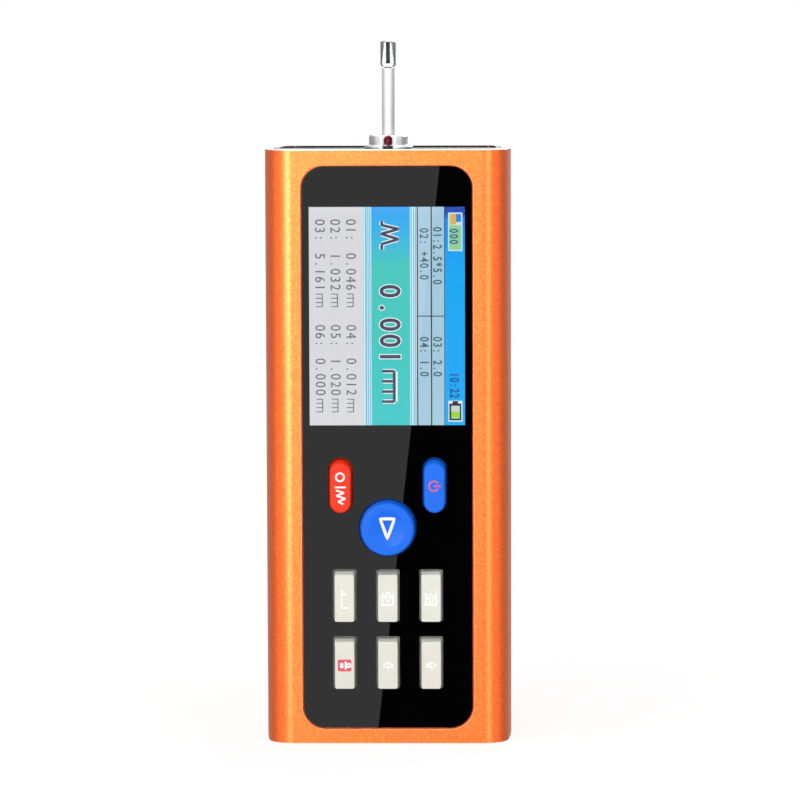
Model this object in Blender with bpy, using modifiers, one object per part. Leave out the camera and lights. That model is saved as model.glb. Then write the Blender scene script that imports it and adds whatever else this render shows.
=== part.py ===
"""Handheld surface roughness tester, in metres, +Z up, front towards -Y.

The origin is the middle of the lower end plate's outer face. The tester stands on that end,
with its pickup pointing up. The body is an extruded tube that two end plates close. A gear
motor and a lead screw inside draw the pickup down along guide rods while it measures.
"""

import math

import bmesh
import bpy
from mathutils import Matrix, Vector

MM = 0.001

# Clearance between pieces that seat on each other
FIT = 0.3 * MM

# Body tube
BODY_WIDTH = 58.8 * MM
BODY_DEPTH = 40.0 * MM
BODY_CORNER = 6.2 * MM
SIDE_BOW = 0.8 * MM
BODY_WALL = 2.2 * MM
RAIL_THICK = 1.2 * MM
RAIL_REACH = 2.6 * MM
CHANNEL_RADIUS = 2.5 * MM
CHANNEL_WEB = 2.0 * MM
CHANNEL_INSET = 3.6 * MM

# Layout of the front, stacked from the lower end to the upper end
EDGE_MARGIN = 3.85 * MM
KEYS_RISE = 15.65 * MM
KEY_ROW_PITCH = 16.0 * MM
START_RISE = 16.2 * MM
OBLONG_RISE = 10.1 * MM
SCREEN_RISE = 14.15 * MM
SCREEN_HEIGHT = 51.6 * MM
SCREEN_TOP = 9.6 * MM
KEY_COLUMN_PITCH = 10.25 * MM
OBLONG_SPREAD = 11.1 * MM

# Front panel and display
PANEL_SIDE_MARGIN = 2.35 * MM
PANEL_CORNER = 5.2 * MM
PANEL_THICK = 1.0 * MM
SCREEN_SIDE_MARGIN = 1.7 * MM
SCREEN_CORNER = 0.5 * MM
LCD_BORDER = 3.0 * MM
LCD_TAIL = 2.2 * MM
LCD_THICK = 2.3 * MM
LCD_STEP_BORDER = 0.4 * MM
LCD_STEP_SINK = 0.7 * MM
CARRIER_WALL = 1.2 * MM
CARRIER_FLOOR = 1.0 * MM
CARRIER_LEDGE = 3.2 * MM

# Keypad
KEY_WIDTH = 5.0 * MM
KEY_HEIGHT = 11.9 * MM
KEY_PROUD = 2.5 * MM
KEY_DRAFT = 0.35 * MM
KEY_EDGE = 0.35 * MM
OBLONG_WIDTH = 5.3 * MM
OBLONG_HEIGHT = 12.6 * MM
OBLONG_PROUD = 3.0 * MM
OBLONG_EDGE = 0.6 * MM
START_RADIUS = 6.6 * MM
START_PROUD = 4.0 * MM
START_EDGE = 0.6 * MM
DISH_RADIUS = 4.6 * MM
DISH_DEPTH = 0.5 * MM
CAP_FLANGE = 0.6 * MM
CAP_FLANGE_THICK = 0.8 * MM
STEM_RADIUS = 1.3 * MM
STEM_LENGTH = 1.5 * MM
CAP_TRAVEL = 0.6 * MM
GUIDE_THICK = 1.0 * MM
GUIDE_POST_RADIUS = 1.2 * MM
SWITCH_SIDE = 6.0 * MM
SWITCH_BODY = 2.9 * MM
PLUNGER_RADIUS = 1.6 * MM
PLUNGER_RISE = 0.8 * MM

# Boards and battery
BOARD_THICK = 1.6 * MM
BOARD_HOLE_RADIUS = 1.5 * MM
BOARD_HOLE_INSET = 4.5 * MM
BATTERY_HEIGHT = 54.0 * MM
BATTERY_BACK_GAP = 4.7 * MM
BATTERY_EDGE = 1.5 * MM
TRAY_WALL = 1.0 * MM
TRAY_FLOOR = 0.8 * MM
TRAY_DEPTH = 6.5 * MM
TRAY_SIDE_GAP = 2.8 * MM
TRAY_LEAD_GAP = 11.4 * MM
CHARGE_BOARD_THICK = 1.2 * MM
CHARGE_BOARD_HEIGHT = 18.0 * MM
SOCKET_WIDTH = 8.9 * MM
SOCKET_THICK = 3.2 * MM
SOCKET_LENGTH = 7.3 * MM
SOCKET_SKIN = 0.35 * MM
TONGUE_THICK = 0.7 * MM
TONGUE_WIDTH = 6.4 * MM

# End plates and their screws
PLATE_THICK = 3.0 * MM
PLATE_RIM_WIDTH = 1.0 * MM
PLATE_RIM_HEIGHT = 0.6 * MM
SHANK_RADIUS = 1.05 * MM
SHANK_LENGTH = 7.0 * MM
HEAD_RADIUS = 2.0 * MM
HEAD_HEIGHT = 1.2 * MM
HEAD_CHAMFER = 0.3 * MM
HEX_RADIUS = 0.9 * MM
HEX_DEPTH = 0.7 * MM

# Collar at the pickup's way out, and its lamp
COLLAR_FLANGE_RADIUS = 5.85 * MM
COLLAR_FLANGE_THICK = 0.8 * MM
COLLAR_RADIUS = 4.65 * MM
COLLAR_RISE = 2.4 * MM
COLLAR_BORE = 2.2 * MM
COLLAR_WALL = 0.6 * MM
COLLAR_EDGE = 0.3 * MM
SPIGOT_RADIUS = 2.9 * MM
SPIGOT_LENGTH = 6.0 * MM
NUT_FLATS = 8.0 * MM
NUT_THICK = 2.2 * MM
LAMP_RADIUS = 1.05 * MM
LAMP_HEIGHT = 2.3 * MM
LAMP_PIN_RADIUS = 0.35 * MM
SEAT_RADIUS = 1.15 * MM
SEAT_HEIGHT = 0.6 * MM

# Traverse drive
TRAVEL = 17.5 * MM
FRAME_THICK = 1.5 * MM
FRAME_HALF_WIDTH = 13.0 * MM
BRIDGE_THICK = 3.5 * MM
BRIDGE_DROP = 9.5 * MM
TRAVEL_MARGIN = 3.7 * MM
MOTOR_RADIUS = 5.0 * MM
MOTOR_CAN_RADIUS = 4.5 * MM
GEARBOX_LENGTH = 13.0 * MM
MOTOR_CAN_LENGTH = 11.0 * MM
MOTOR_EDGE = 0.4 * MM
SHAFT_RADIUS = 0.9 * MM
SHAFT_ENGAGE = 5.0 * MM
SCREW_RADIUS = 1.5 * MM
COUPLING_RADIUS = 2.6 * MM
COUPLING_LENGTH = 5.0 * MM
BUSH_WALL = 1.5 * MM
ROD_RADIUS = 1.5 * MM
ROD_SPREAD = 9.0 * MM
ROD_FIT = 0.15 * MM
CARRIAGE_HEIGHT = 12.0 * MM
CARRIAGE_WALL = 1.6 * MM
CARRIAGE_DROP = 20.0 * MM
NUT_WALL = 1.2 * MM
PROBE_OFFSET = 7.6 * MM

# Pickup
TUBE_RADIUS = 1.525 * MM
TUBE_BORE = 1.1 * MM
TUBE_RISE = 18.9 * MM
PICKUP_RADIUS = 3.1 * MM
PICKUP_LENGTH = 12.0 * MM
PICKUP_EDGE = 0.5 * MM
PLUG_RADIUS = 1.7 * MM
PLUG_LENGTH = 7.0 * MM
SOCKET_RING_WALL = 1.3 * MM
TUBE_SEAT = 4.0 * MM
HEAD_END_RADIUS = 1.85 * MM
HEAD_END_LENGTH = 6.2 * MM
HEAD_NECK_RADIUS = 1.5 * MM
HEAD_TAPER = 0.5 * MM
HEAD_ROUND = 0.55 * MM
HEAD_SPIGOT_RADIUS = 0.8 * MM
HEAD_SPIGOT_LENGTH = 2.6 * MM
SLOT_WIDTH = 1.0 * MM
SLOT_FLOOR = 0.6 * MM
RELIEF_TOP = 0.1 * MM
RELIEF_FOOT = 0.65 * MM
LEVER_THICK = 0.5 * MM
LEVER_EYE_RADIUS = 0.7 * MM
LEVER_NOSE_RADIUS = 0.35 * MM
LEVER_LENGTH = 3.7 * MM
PIVOT_RADIUS = 0.2 * MM
PIVOT_FIT = 0.15 * MM
PIVOT_RISE = 1.5 * MM
PIVOT_LENGTH = 2.8 * MM
TIP_RADIUS = 0.2 * MM
TIP_REACH = 0.1 * MM
TIP_SEAT = 0.2 * MM

# Facets
ARC_STEPS = 5
ROUND_STEPS = 24
SMALL_STEPS = 16
FINE_STEPS = 32
TINY_STEPS = 12
HIDDEN_STEPS = 8
DISH_STEPS = 4
SHOULDER_STEPS = 3
DOME_STEPS = 6
BUTTON_STEPS = 40

# Levels along the height, worked out from the layout
KEY_LOW_Z = EDGE_MARGIN + KEYS_RISE
KEY_HIGH_Z = KEY_LOW_Z + KEY_ROW_PITCH
START_Z = KEY_HIGH_Z + START_RISE
OBLONG_Z = START_Z + OBLONG_RISE
SCREEN_LOW_Z = OBLONG_Z + SCREEN_RISE
SCREEN_HIGH_Z = SCREEN_LOW_Z + SCREEN_HEIGHT
SCREEN_Z = (SCREEN_LOW_Z + SCREEN_HIGH_Z) / 2
BODY_HEIGHT = SCREEN_HIGH_Z + SCREEN_TOP + EDGE_MARGIN
PANEL_Z = BODY_HEIGHT / 2
PLATE_TOP_Z = BODY_HEIGHT - PLATE_RIM_HEIGHT
PLATE_UNDER_Z = PLATE_TOP_Z - PLATE_THICK
CHANNEL_LOW_Z = PLATE_THICK + FIT
CHANNEL_HIGH_Z = PLATE_UNDER_Z - FIT

# Widths of the front
FRONT_FLAT = BODY_WIDTH - 2 * (BODY_CORNER + SIDE_BOW)
PANEL_WIDTH = FRONT_FLAT - 2 * PANEL_SIDE_MARGIN
PANEL_HEIGHT = BODY_HEIGHT - 2 * EDGE_MARGIN
SCREEN_WIDTH = PANEL_WIDTH - 2 * SCREEN_SIDE_MARGIN
LCD_WIDTH = SCREEN_WIDTH + 2 * LCD_BORDER
LCD_LOW_Z = SCREEN_LOW_Z - LCD_BORDER - LCD_TAIL
LCD_HIGH_Z = SCREEN_HIGH_Z + LCD_BORDER
INNER_HALF_WIDTH = BODY_WIDTH / 2 - BODY_WALL

# Levels along the depth, from the front to the back
FRONT_Y = -BODY_DEPTH / 2
PANEL_BACK_Y = FRONT_Y + PANEL_THICK
LEDGE_Y = PANEL_BACK_Y + FIT
INNER_FRONT_Y = FRONT_Y + BODY_WALL
CAP_FLANGE_BACK_Y = LEDGE_Y + CAP_FLANGE_THICK
STEM_END_Y = CAP_FLANGE_BACK_Y + STEM_LENGTH
LCD_FRONT_Y = INNER_FRONT_Y + FIT
GUIDE_FRONT_Y = CAP_FLANGE_BACK_Y + CAP_TRAVEL + FIT
PLUNGER_TIP_Y = STEM_END_Y + CAP_TRAVEL + FIT
SWITCH_FRONT_Y = PLUNGER_TIP_Y + PLUNGER_RISE
SWITCH_BACK_Y = SWITCH_FRONT_Y + SWITCH_BODY
BOARD_FRONT_Y = SWITCH_BACK_Y + FIT
BOARD_BACK_Y = BOARD_FRONT_Y + BOARD_THICK
TRAY_FRONT_Y = BOARD_BACK_Y + FIT
BATTERY_FRONT_Y = TRAY_FRONT_Y + TRAY_FLOOR + FIT
INNER_BACK_Y = BODY_DEPTH / 2 - BODY_WALL
FRAME_BACK_Y = INNER_BACK_Y - FIT
FRAME_FRONT_Y = FRAME_BACK_Y - FRAME_THICK
SCREW_Y = FRAME_FRONT_Y - FIT - MOTOR_RADIUS
PROBE_Y = SCREW_Y - PROBE_OFFSET
FRONT_CHANNEL_Y = BOARD_BACK_Y + FIT + RAIL_THICK + CHANNEL_RADIUS
BACK_CHANNEL_Y = INNER_BACK_Y - CHANNEL_INSET
CHANNEL_X = INNER_HALF_WIDTH - CHANNEL_INSET
CHARGE_BOARD_BACK_Y = BACK_CHANNEL_Y - CHANNEL_RADIUS - RAIL_THICK
CHARGE_BOARD_FRONT_Y = CHARGE_BOARD_BACK_Y - CHARGE_BOARD_THICK
SOCKET_Y = CHARGE_BOARD_FRONT_Y - FIT - SOCKET_THICK / 2
BOARD_HALF_WIDTH = INNER_HALF_WIDTH - RAIL_REACH / 2
BATTERY_THICK = SCREW_Y - MOTOR_RADIUS - BATTERY_BACK_GAP - BATTERY_FRONT_Y
BATTERY_WIDTH = 2 * (CHANNEL_X - CHANNEL_RADIUS - TRAY_SIDE_GAP - TRAY_WALL - FIT)

# How far the rails and webs run into the wall that carries them
WALL_SINK = BODY_WALL / 3

# Levels of the drive and the pickup
BRIDGE_HIGH_Z = PLATE_UNDER_Z - BRIDGE_DROP
CARRIAGE_HIGH_Z = BRIDGE_HIGH_Z - CARRIAGE_DROP
CARRIAGE_LOW_Z = CARRIAGE_HIGH_Z - CARRIAGE_HEIGHT
COUPLING_HIGH_Z = CARRIAGE_LOW_Z - TRAVEL - TRAVEL_MARGIN
COUPLING_LOW_Z = COUPLING_HIGH_Z - COUPLING_LENGTH
BRIDGE_LOW_Z = COUPLING_LOW_Z - FIT - BRIDGE_THICK
MOTOR_TOP_Z = BRIDGE_LOW_Z - FIT
PICKUP_LOW_Z = CARRIAGE_HIGH_Z + FIT
TUBE_TOP_Z = BODY_HEIGHT + TUBE_RISE
HEAD_LOW_Z = TUBE_TOP_Z + FIT
PIVOT_Z = HEAD_LOW_Z + PIVOT_RISE
COLLAR_LOW_Z = PLATE_TOP_Z + FIT
COLLAR_HIGH_Z = COLLAR_LOW_Z + COLLAR_FLANGE_THICK + COLLAR_RISE
LAMP_Y = PROBE_Y - COLLAR_BORE - COLLAR_WALL - FIT - SEAT_RADIUS

# Turns a piece so that its own +Z faces the user and its own +Y points up
FACE_TURN = (math.pi / 2, 0, 0)

PARTS = "surface_roughness_tester"
CUTTERS = "cutters"

FINISHES = {
    "orange_anodised": ((1.0, 0.23, 0.03), 0.38, 0.9),
    "black_acrylic": ((0.01, 0.01, 0.012), 0.08, 0.0),
    "clear_acrylic": ((0.75, 0.82, 0.88), 0.05, 0.0),
    "display_glass": ((0.30, 0.55, 0.70), 0.12, 0.0),
    "black_anodised": ((0.02, 0.02, 0.022), 0.4, 0.6),
    "bright_steel": ((0.78, 0.78, 0.80), 0.22, 1.0),
    "bare_aluminium": ((0.75, 0.75, 0.77), 0.35, 1.0),
    "brass": ((0.72, 0.52, 0.20), 0.3, 1.0),
    "red_lens": ((0.35, 0.01, 0.03), 0.1, 0.0),
    "black_plastic": ((0.02, 0.02, 0.022), 0.45, 0.0),
    "green_board": ((0.02, 0.20, 0.08), 0.4, 0.0),
    "blue_plastic": ((0.03, 0.15, 0.95), 0.3, 0.0),
    "red_plastic": ((0.90, 0.05, 0.02), 0.3, 0.0),
    "cream_plastic": ((0.80, 0.80, 0.74), 0.4, 0.0),
    "battery_wrap": ((0.08, 0.20, 0.45), 0.35, 0.0),
    "diamond": ((0.85, 0.88, 0.92), 0.05, 0.0),
}


def clear_scene():
    for obj in list(bpy.data.objects):
        bpy.data.objects.remove(obj, do_unlink=True)


def collection(name):
    found = bpy.data.collections.get(name)
    if found is None:
        found = bpy.data.collections.new(name)
        bpy.context.scene.collection.children.link(found)
    return found


def finish(name):
    """The Principled material of this name, made once."""
    made = bpy.data.materials.get(name)
    if made is None:
        color, roughness, metallic = FINISHES[name]
        made = bpy.data.materials.new(name)
        made.use_nodes = True
        shader = made.node_tree.nodes["Principled BSDF"]
        shader.inputs["Base Color"].default_value = (*color, 1.0)
        shader.inputs["Roughness"].default_value = roughness
        shader.inputs["Metallic"].default_value = metallic
    return made


def add_object(name, data, location, turn, finish_name):
    """Links an object for this data: a part where it has a finish, and otherwise a cutter."""
    obj = bpy.data.objects.new(name, data)
    obj.location = location
    obj.rotation_euler = turn
    if finish_name:
        data.materials.clear()
        data.materials.append(finish(finish_name))
        collection(PARTS).objects.link(obj)
    else:
        obj.hide_render = True
        obj.display_type = "WIRE"
        collection(CUTTERS).objects.link(obj)
    return obj


def shade_round(mesh, angle=35):
    mesh.shade_smooth()
    mesh.set_sharp_from_angle(angle=math.radians(angle))


def block(name, size, location, finish_name=None, turn=(0, 0, 0), edge=0.0, top_scale=(1.0, 1.0)):
    """A box of this size about its location. top_scale draws its +Z end in, and edge rounds it."""
    bm = bmesh.new()
    bmesh.ops.create_cube(bm, size=1.0, matrix=Matrix.Diagonal((*size, 1.0)))
    top = [vert for vert in bm.verts if vert.co.z > 0]
    bmesh.ops.scale(bm, vec=(*top_scale, 1.0), verts=top)
    mesh = bpy.data.meshes.new(name)
    bm.to_mesh(mesh)
    bm.free()
    obj = add_object(name, mesh, location, turn, finish_name)
    if edge:
        round_edges(obj, edge)
    return obj


def round_edges(obj, width, segments=2):
    bevel = obj.modifiers.new("edge", "BEVEL")
    bevel.width = width
    bevel.segments = segments
    bevel.limit_method = "ANGLE"
    bevel.angle_limit = math.radians(40)
    bevel.harden_normals = False


def rod(name, radius, low, high, location, finish_name=None, turn=(0, 0, 0), steps=SMALL_STEPS):
    """A cylinder from low to high along its own Z."""
    bm = bmesh.new()
    bmesh.ops.create_cone(
        bm,
        cap_ends=True,
        segments=steps,
        radius1=radius,
        radius2=radius,
        depth=high - low,
        matrix=Matrix.Translation((0, 0, (high + low) / 2)),
    )
    mesh = bpy.data.meshes.new(name)
    bm.to_mesh(mesh)
    bm.free()
    shade_round(mesh)
    return add_object(name, mesh, location, turn, finish_name)


def turned(name, profile, location, finish_name=None, turn=(0, 0, 0), steps=ROUND_STEPS, ring=False):
    """A turned shape: (radius, height) points down its outer side, closed to a loop for a ring."""
    bm = bmesh.new()
    verts = [bm.verts.new((radius, 0, height)) for radius, height in profile]
    for first, second in zip(verts, verts[1:]):
        bm.edges.new((first, second))
    if ring:
        bm.edges.new((verts[-1], verts[0]))
    mesh = bpy.data.meshes.new(name)
    bm.to_mesh(mesh)
    bm.free()
    obj = add_object(name, mesh, location, turn, finish_name)
    screw = obj.modifiers.new("turn", "SCREW")
    screw.axis = "Z"
    screw.angle = 2 * math.pi
    screw.steps = steps
    screw.render_steps = steps
    screw.use_merge_vertices = True
    screw.merge_threshold = 1e-6
    screw.use_smooth_shade = True
    return obj


def arc(centre, radius, start, end, steps=ARC_STEPS):
    """Points along an arc, angles in degrees."""
    points = []
    for step in range(steps + 1):
        angle = math.radians(start + (end - start) * step / steps)
        points.append((centre[0] + radius * math.cos(angle), centre[1] + radius * math.sin(angle)))
    return points


def circle(centre, radius, steps=SMALL_STEPS):
    return arc(centre, radius, 0, 360, steps)[:-1]


def rounded_rectangle(centre, width, height, corner):
    """An outline with four round corners."""
    x, y = width / 2 - corner, height / 2 - corner
    points = []
    for sign_x, sign_y, start in ((1, 1, 0), (-1, 1, 90), (-1, -1, 180), (1, -1, 270)):
        middle = (centre[0] + sign_x * x, centre[1] + sign_y * y)
        points += arc(middle, corner, start, start + 90)
    return points


def stadium(centre, width, height):
    """An upright outline with half-round ends."""
    reach = height / 2 - width / 2
    upper = arc((centre[0], centre[1] + reach), width / 2, 0, 180, 2 * ARC_STEPS)
    lower = arc((centre[0], centre[1] - reach), width / 2, 180, 360, 2 * ARC_STEPS)
    return upper + lower


def body_outline(inset):
    """The tube's section drawn in by an inset: a flat front and back, round corners and bowed sides."""
    corner_x = FRONT_FLAT / 2
    corner_y = BODY_DEPTH / 2 - BODY_CORNER
    run = BODY_CORNER + SIDE_BOW
    side_radius = (run**2 + corner_y**2 - BODY_CORNER**2) / (2 * SIDE_BOW)
    side_x = BODY_WIDTH / 2 - side_radius
    lean = math.degrees(math.atan2(corner_y, corner_x - side_x))
    radius = BODY_CORNER - inset
    points = arc((side_x, 0), side_radius - inset, -lean, lean, 2 * ARC_STEPS)[:-1]
    points += arc((corner_x, corner_y), radius, lean, 90)
    points += arc((-corner_x, corner_y), radius, 90, 180 - lean)[:-1]
    points += arc((-side_x, 0), side_radius - inset, 180 - lean, 180 + lean, 2 * ARC_STEPS)[:-1]
    points += arc((-corner_x, -corner_y), radius, 180 + lean, 270)
    points += arc((corner_x, -corner_y), radius, 270, 360 - lean)[:-1]
    return points


def sheet_of(name, outlines, thick, location, finish_name=None, turn=(0, 0, 0)):
    """A flat piece with its holes: closed outlines filled as a 2D curve and extruded both ways."""
    curve = bpy.data.curves.new(name, "CURVE")
    curve.dimensions = "2D"
    curve.fill_mode = "BOTH"
    curve.extrude = thick / 2
    for outline in outlines:
        spline = curve.splines.new("POLY")
        spline.points.add(len(outline) - 1)
        for point, (x, y) in zip(spline.points, outline):
            point.co = (x, y, 0, 1)
        spline.use_cyclic_u = True
    return add_object(name, curve, location, turn, finish_name)


def made_mesh(obj):
    """The same object with its modifiers or its curve made one welded mesh."""
    bpy.context.view_layer.update()
    evaluated = obj.evaluated_get(bpy.context.evaluated_depsgraph_get())
    mesh = bpy.data.meshes.new_from_object(evaluated)
    bm = bmesh.new()
    bm.from_mesh(mesh)
    bmesh.ops.remove_doubles(bm, verts=bm.verts, dist=1e-7)
    bmesh.ops.recalc_face_normals(bm, faces=bm.faces)
    bm.to_mesh(mesh)
    bm.free()
    shade_round(mesh)
    name = obj.name
    is_part = not obj.hide_render
    matrix = obj.matrix_world.copy()
    bpy.data.objects.remove(obj, do_unlink=True)
    result = bpy.data.objects.new(name, mesh)
    result.matrix_world = matrix
    if is_part:
        collection(PARTS).objects.link(result)
    else:
        result.hide_render = True
        result.display_type = "WIRE"
        collection(CUTTERS).objects.link(result)
    mesh.name = name
    return result


def combine(obj, tool, operation):
    """Adds a Boolean of the tool, which is a curve or a mesh, to the object."""
    if tool.type == "CURVE":
        tool = made_mesh(tool)
    boolean = obj.modifiers.new(tool.name, "BOOLEAN")
    boolean.operation = operation
    boolean.solver = "EXACT"
    boolean.object = tool
    return obj


def cut(obj, *tools):
    for tool in tools:
        combine(obj, tool, "DIFFERENCE")
    return obj


def join(obj, *tools):
    for tool in tools:
        combine(obj, tool, "UNION")
    return obj


def copy_of(obj, name, location):
    """Another object with the same mesh."""
    twin = bpy.data.objects.new(name, obj.data)
    twin.rotation_euler = obj.rotation_euler
    twin.location = location
    collection(PARTS).objects.link(twin)
    return twin


def carry(name, location, pieces):
    """Parents the pieces to an empty that stands on their joint's axis."""
    empty = bpy.data.objects.new(name, None)
    empty.location = location
    empty.empty_display_size = 5 * MM
    collection(PARTS).objects.link(empty)
    for piece in pieces:
        piece.parent = empty
        piece.matrix_parent_inverse = Matrix.Translation(-Vector(location))


def channel_places():
    """The four screw channels, as (x, y)."""
    return [(side * CHANNEL_X, y) for y in (FRONT_CHANNEL_Y, BACK_CHANNEL_Y) for side in (-1, 1)]


def key_places():
    """Each cream key's name with its (x, z)."""
    rows = (
        (KEY_HIGH_Z, ("enter_key", "tray_down_key", "tray_up_key")),
        (KEY_LOW_Z, ("save_key", "left_key", "right_key")),
    )
    return {
        name: ((column - 1) * KEY_COLUMN_PITCH, z)
        for z, names in rows
        for column, name in enumerate(names)
    }


def button_places():
    """Every cap's name with its (x, z)."""
    return {
        "start_button": (0.0, START_Z),
        "mode_button": (-OBLONG_SPREAD, OBLONG_Z),
        "power_button": (OBLONG_SPREAD, OBLONG_Z),
        **key_places(),
    }


def keypad_bounds():
    """The keypad opening behind the panel: half its width, its foot and its head."""
    half = KEY_COLUMN_PITCH + KEY_WIDTH / 2
    half = max(half, OBLONG_SPREAD + OBLONG_WIDTH / 2) + CAP_FLANGE + 2 * FIT
    low = KEY_LOW_Z - KEY_HEIGHT / 2 - CAP_FLANGE - 2 * FIT
    high = OBLONG_Z + OBLONG_HEIGHT / 2 + CAP_FLANGE + 2 * FIT
    return half, low, high


def housing_shell():
    """The extruded tube with its board rails and screw channels, milled open at the front."""
    shell = sheet_of(
        "housing_shell",
        [body_outline(0), body_outline(BODY_WALL)],
        BODY_HEIGHT,
        (0, 0, BODY_HEIGHT / 2),
        "orange_anodised",
    )
    shell = made_mesh(shell)
    run = CHANNEL_HIGH_Z - CHANNEL_LOW_Z
    middle = (CHANNEL_HIGH_Z + CHANNEL_LOW_Z) / 2
    wall_x = INNER_HALF_WIDTH + WALL_SINK
    lips = (
        BOARD_FRONT_Y - FIT - RAIL_THICK / 2,
        BOARD_BACK_Y + FIT + RAIL_THICK / 2,
        CHARGE_BOARD_FRONT_Y - FIT - RAIL_THICK / 2,
        CHARGE_BOARD_BACK_Y + FIT + RAIL_THICK / 2,
    )
    rail_x = INNER_HALF_WIDTH - RAIL_REACH
    for side in (-1, 1):
        for index, y in enumerate(lips):
            size = (wall_x - rail_x, RAIL_THICK, run)
            centre = (side * (wall_x + rail_x) / 2, y, middle)
            join(shell, block(f"rail_{side}_{index}", size, centre))
    for index, (x, y) in enumerate(channel_places()):
        boss = rod(f"channel_{index}", CHANNEL_RADIUS, 0, run, (x, y, CHANNEL_LOW_Z))
        side = math.copysign(1, x)
        size = (wall_x - abs(x), CHANNEL_WEB, run)
        web = block(f"channel_web_{index}", size, (side * (wall_x + abs(x)) / 2, y, middle))
        join(shell, boss, web)
    for index, (x, y) in enumerate(channel_places()[2:]):
        back_y = INNER_BACK_Y + WALL_SINK
        size = (CHANNEL_WEB, back_y - y, run)
        join(shell, block(f"channel_back_web_{index}", size, (x, (back_y + y) / 2, middle)))
    for index, (x, y) in enumerate(channel_places()):
        bore = rod(f"channel_bore_{index}", SHANK_RADIUS + FIT, 0, BODY_HEIGHT, (x, y, 0))
        cut(shell, bore)
    cut(shell, *front_cutters())
    return shell


def front_cutters():
    """The pocket that the panel lies in, and the openings for the display and the keypad."""
    pocket = sheet_of(
        "panel_pocket",
        [
            rounded_rectangle(
                (0, 0), PANEL_WIDTH + 2 * FIT, PANEL_HEIGHT + 2 * FIT, PANEL_CORNER + FIT
            )
        ],
        2 * (LEDGE_Y - FRONT_Y),
        (0, FRONT_Y, PANEL_Z),
        turn=FACE_TURN,
    )
    depth = 4 * BODY_WALL
    step = SCREEN_WIDTH / 2 + LCD_STEP_BORDER + FIT
    view = sheet_of(
        "display_opening",
        [
            rounded_rectangle(
                (0, 0), 2 * step, SCREEN_HEIGHT + 2 * (LCD_STEP_BORDER + FIT), SCREEN_CORNER + FIT
            )
        ],
        depth,
        (0, FRONT_Y, SCREEN_Z),
        turn=FACE_TURN,
    )
    half, low, high = keypad_bounds()
    keypad = sheet_of(
        "keypad_opening",
        [rounded_rectangle((0, 0), 2 * half, high - low, START_EDGE + FIT)],
        depth,
        (0, FRONT_Y, (high + low) / 2),
        turn=FACE_TURN,
    )
    return pocket, view, keypad


def cap_outline(name, grow):
    """The outline of one cap on the front, grown by an amount, about its own centre."""
    if name == "start_button":
        return circle((0, 0), START_RADIUS + grow, BUTTON_STEPS)
    if name in ("mode_button", "power_button"):
        return stadium((0, 0), OBLONG_WIDTH + 2 * grow, OBLONG_HEIGHT + 2 * grow)
    return rounded_rectangle(
        (0, 0), KEY_WIDTH + 2 * grow, KEY_HEIGHT + 2 * grow, KEY_EDGE + grow
    )


def moved(outline, x, y):
    return [(x + px, y + py) for px, py in outline]


def front_panel():
    """The glossy sheet, with its window and a hole for each cap."""
    outlines = [
        rounded_rectangle((0, 0), PANEL_WIDTH, PANEL_HEIGHT, PANEL_CORNER),
        rounded_rectangle((0, SCREEN_Z - PANEL_Z), SCREEN_WIDTH, SCREEN_HEIGHT, SCREEN_CORNER),
    ]
    for name, (x, z) in button_places().items():
        outlines.append(moved(cap_outline(name, FIT), x, z - PANEL_Z))
    place = (0, (FRONT_Y + PANEL_BACK_Y) / 2, PANEL_Z)
    return sheet_of("front_panel", outlines, PANEL_THICK, place, "black_acrylic", FACE_TURN)


def display_window():
    """The clear lens that fills the panel's window."""
    outline = rounded_rectangle((0, 0), SCREEN_WIDTH - 2 * FIT, SCREEN_HEIGHT - 2 * FIT, FIT)
    place = (0, (FRONT_Y + PANEL_BACK_Y) / 2, SCREEN_Z)
    return sheet_of("display_window", [outline], PANEL_THICK, place, "clear_acrylic", FACE_TURN)


def lcd_panel():
    """The display module, whose glass steps forward into the shell's opening."""
    height = LCD_HIGH_Z - LCD_LOW_Z
    centre = (0, LCD_FRONT_Y + LCD_THICK / 2, (LCD_HIGH_Z + LCD_LOW_Z) / 2)
    module = block("lcd_panel", (LCD_WIDTH, LCD_THICK, height), centre, "display_glass")
    back = LCD_FRONT_Y + LCD_STEP_SINK
    size = (
        SCREEN_WIDTH + 2 * LCD_STEP_BORDER,
        back - LEDGE_Y,
        SCREEN_HEIGHT + 2 * LCD_STEP_BORDER,
    )
    return join(module, block("lcd_step", size, (0, (back + LEDGE_Y) / 2, SCREEN_Z)))


def display_carrier():
    """The moulded frame that holds the display module off the main board."""
    grow = FIT + CARRIER_WALL
    low, high = LCD_LOW_Z - grow, LCD_HIGH_Z + grow
    front, back = LCD_FRONT_Y, BOARD_FRONT_Y - FIT
    size = (LCD_WIDTH + 2 * grow, back - front, high - low)
    centre = (0, (front + back) / 2, (low + high) / 2)
    frame = block("display_carrier", size, centre, "black_plastic")
    floor = LCD_FRONT_Y + LCD_THICK + FIT
    pocket_size = (LCD_WIDTH + 2 * FIT, 2 * (floor - front), high - low - 2 * CARRIER_WALL)
    pocket = block("carrier_pocket", pocket_size, (0, front, centre[2]))
    light = 2 * CARRIER_LEDGE
    through = (LCD_WIDTH - light, 4 * size[1], high - low - 2 * CARRIER_WALL - light)
    relief_depth = back - floor - CARRIER_FLOOR
    relief_size = (LCD_WIDTH + 2 * FIT, 2 * relief_depth, pocket_size[2])
    relief = block("carrier_relief", relief_size, (0, back, centre[2]))
    return cut(frame, pocket, relief, block("carrier_window", through, centre))


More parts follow.
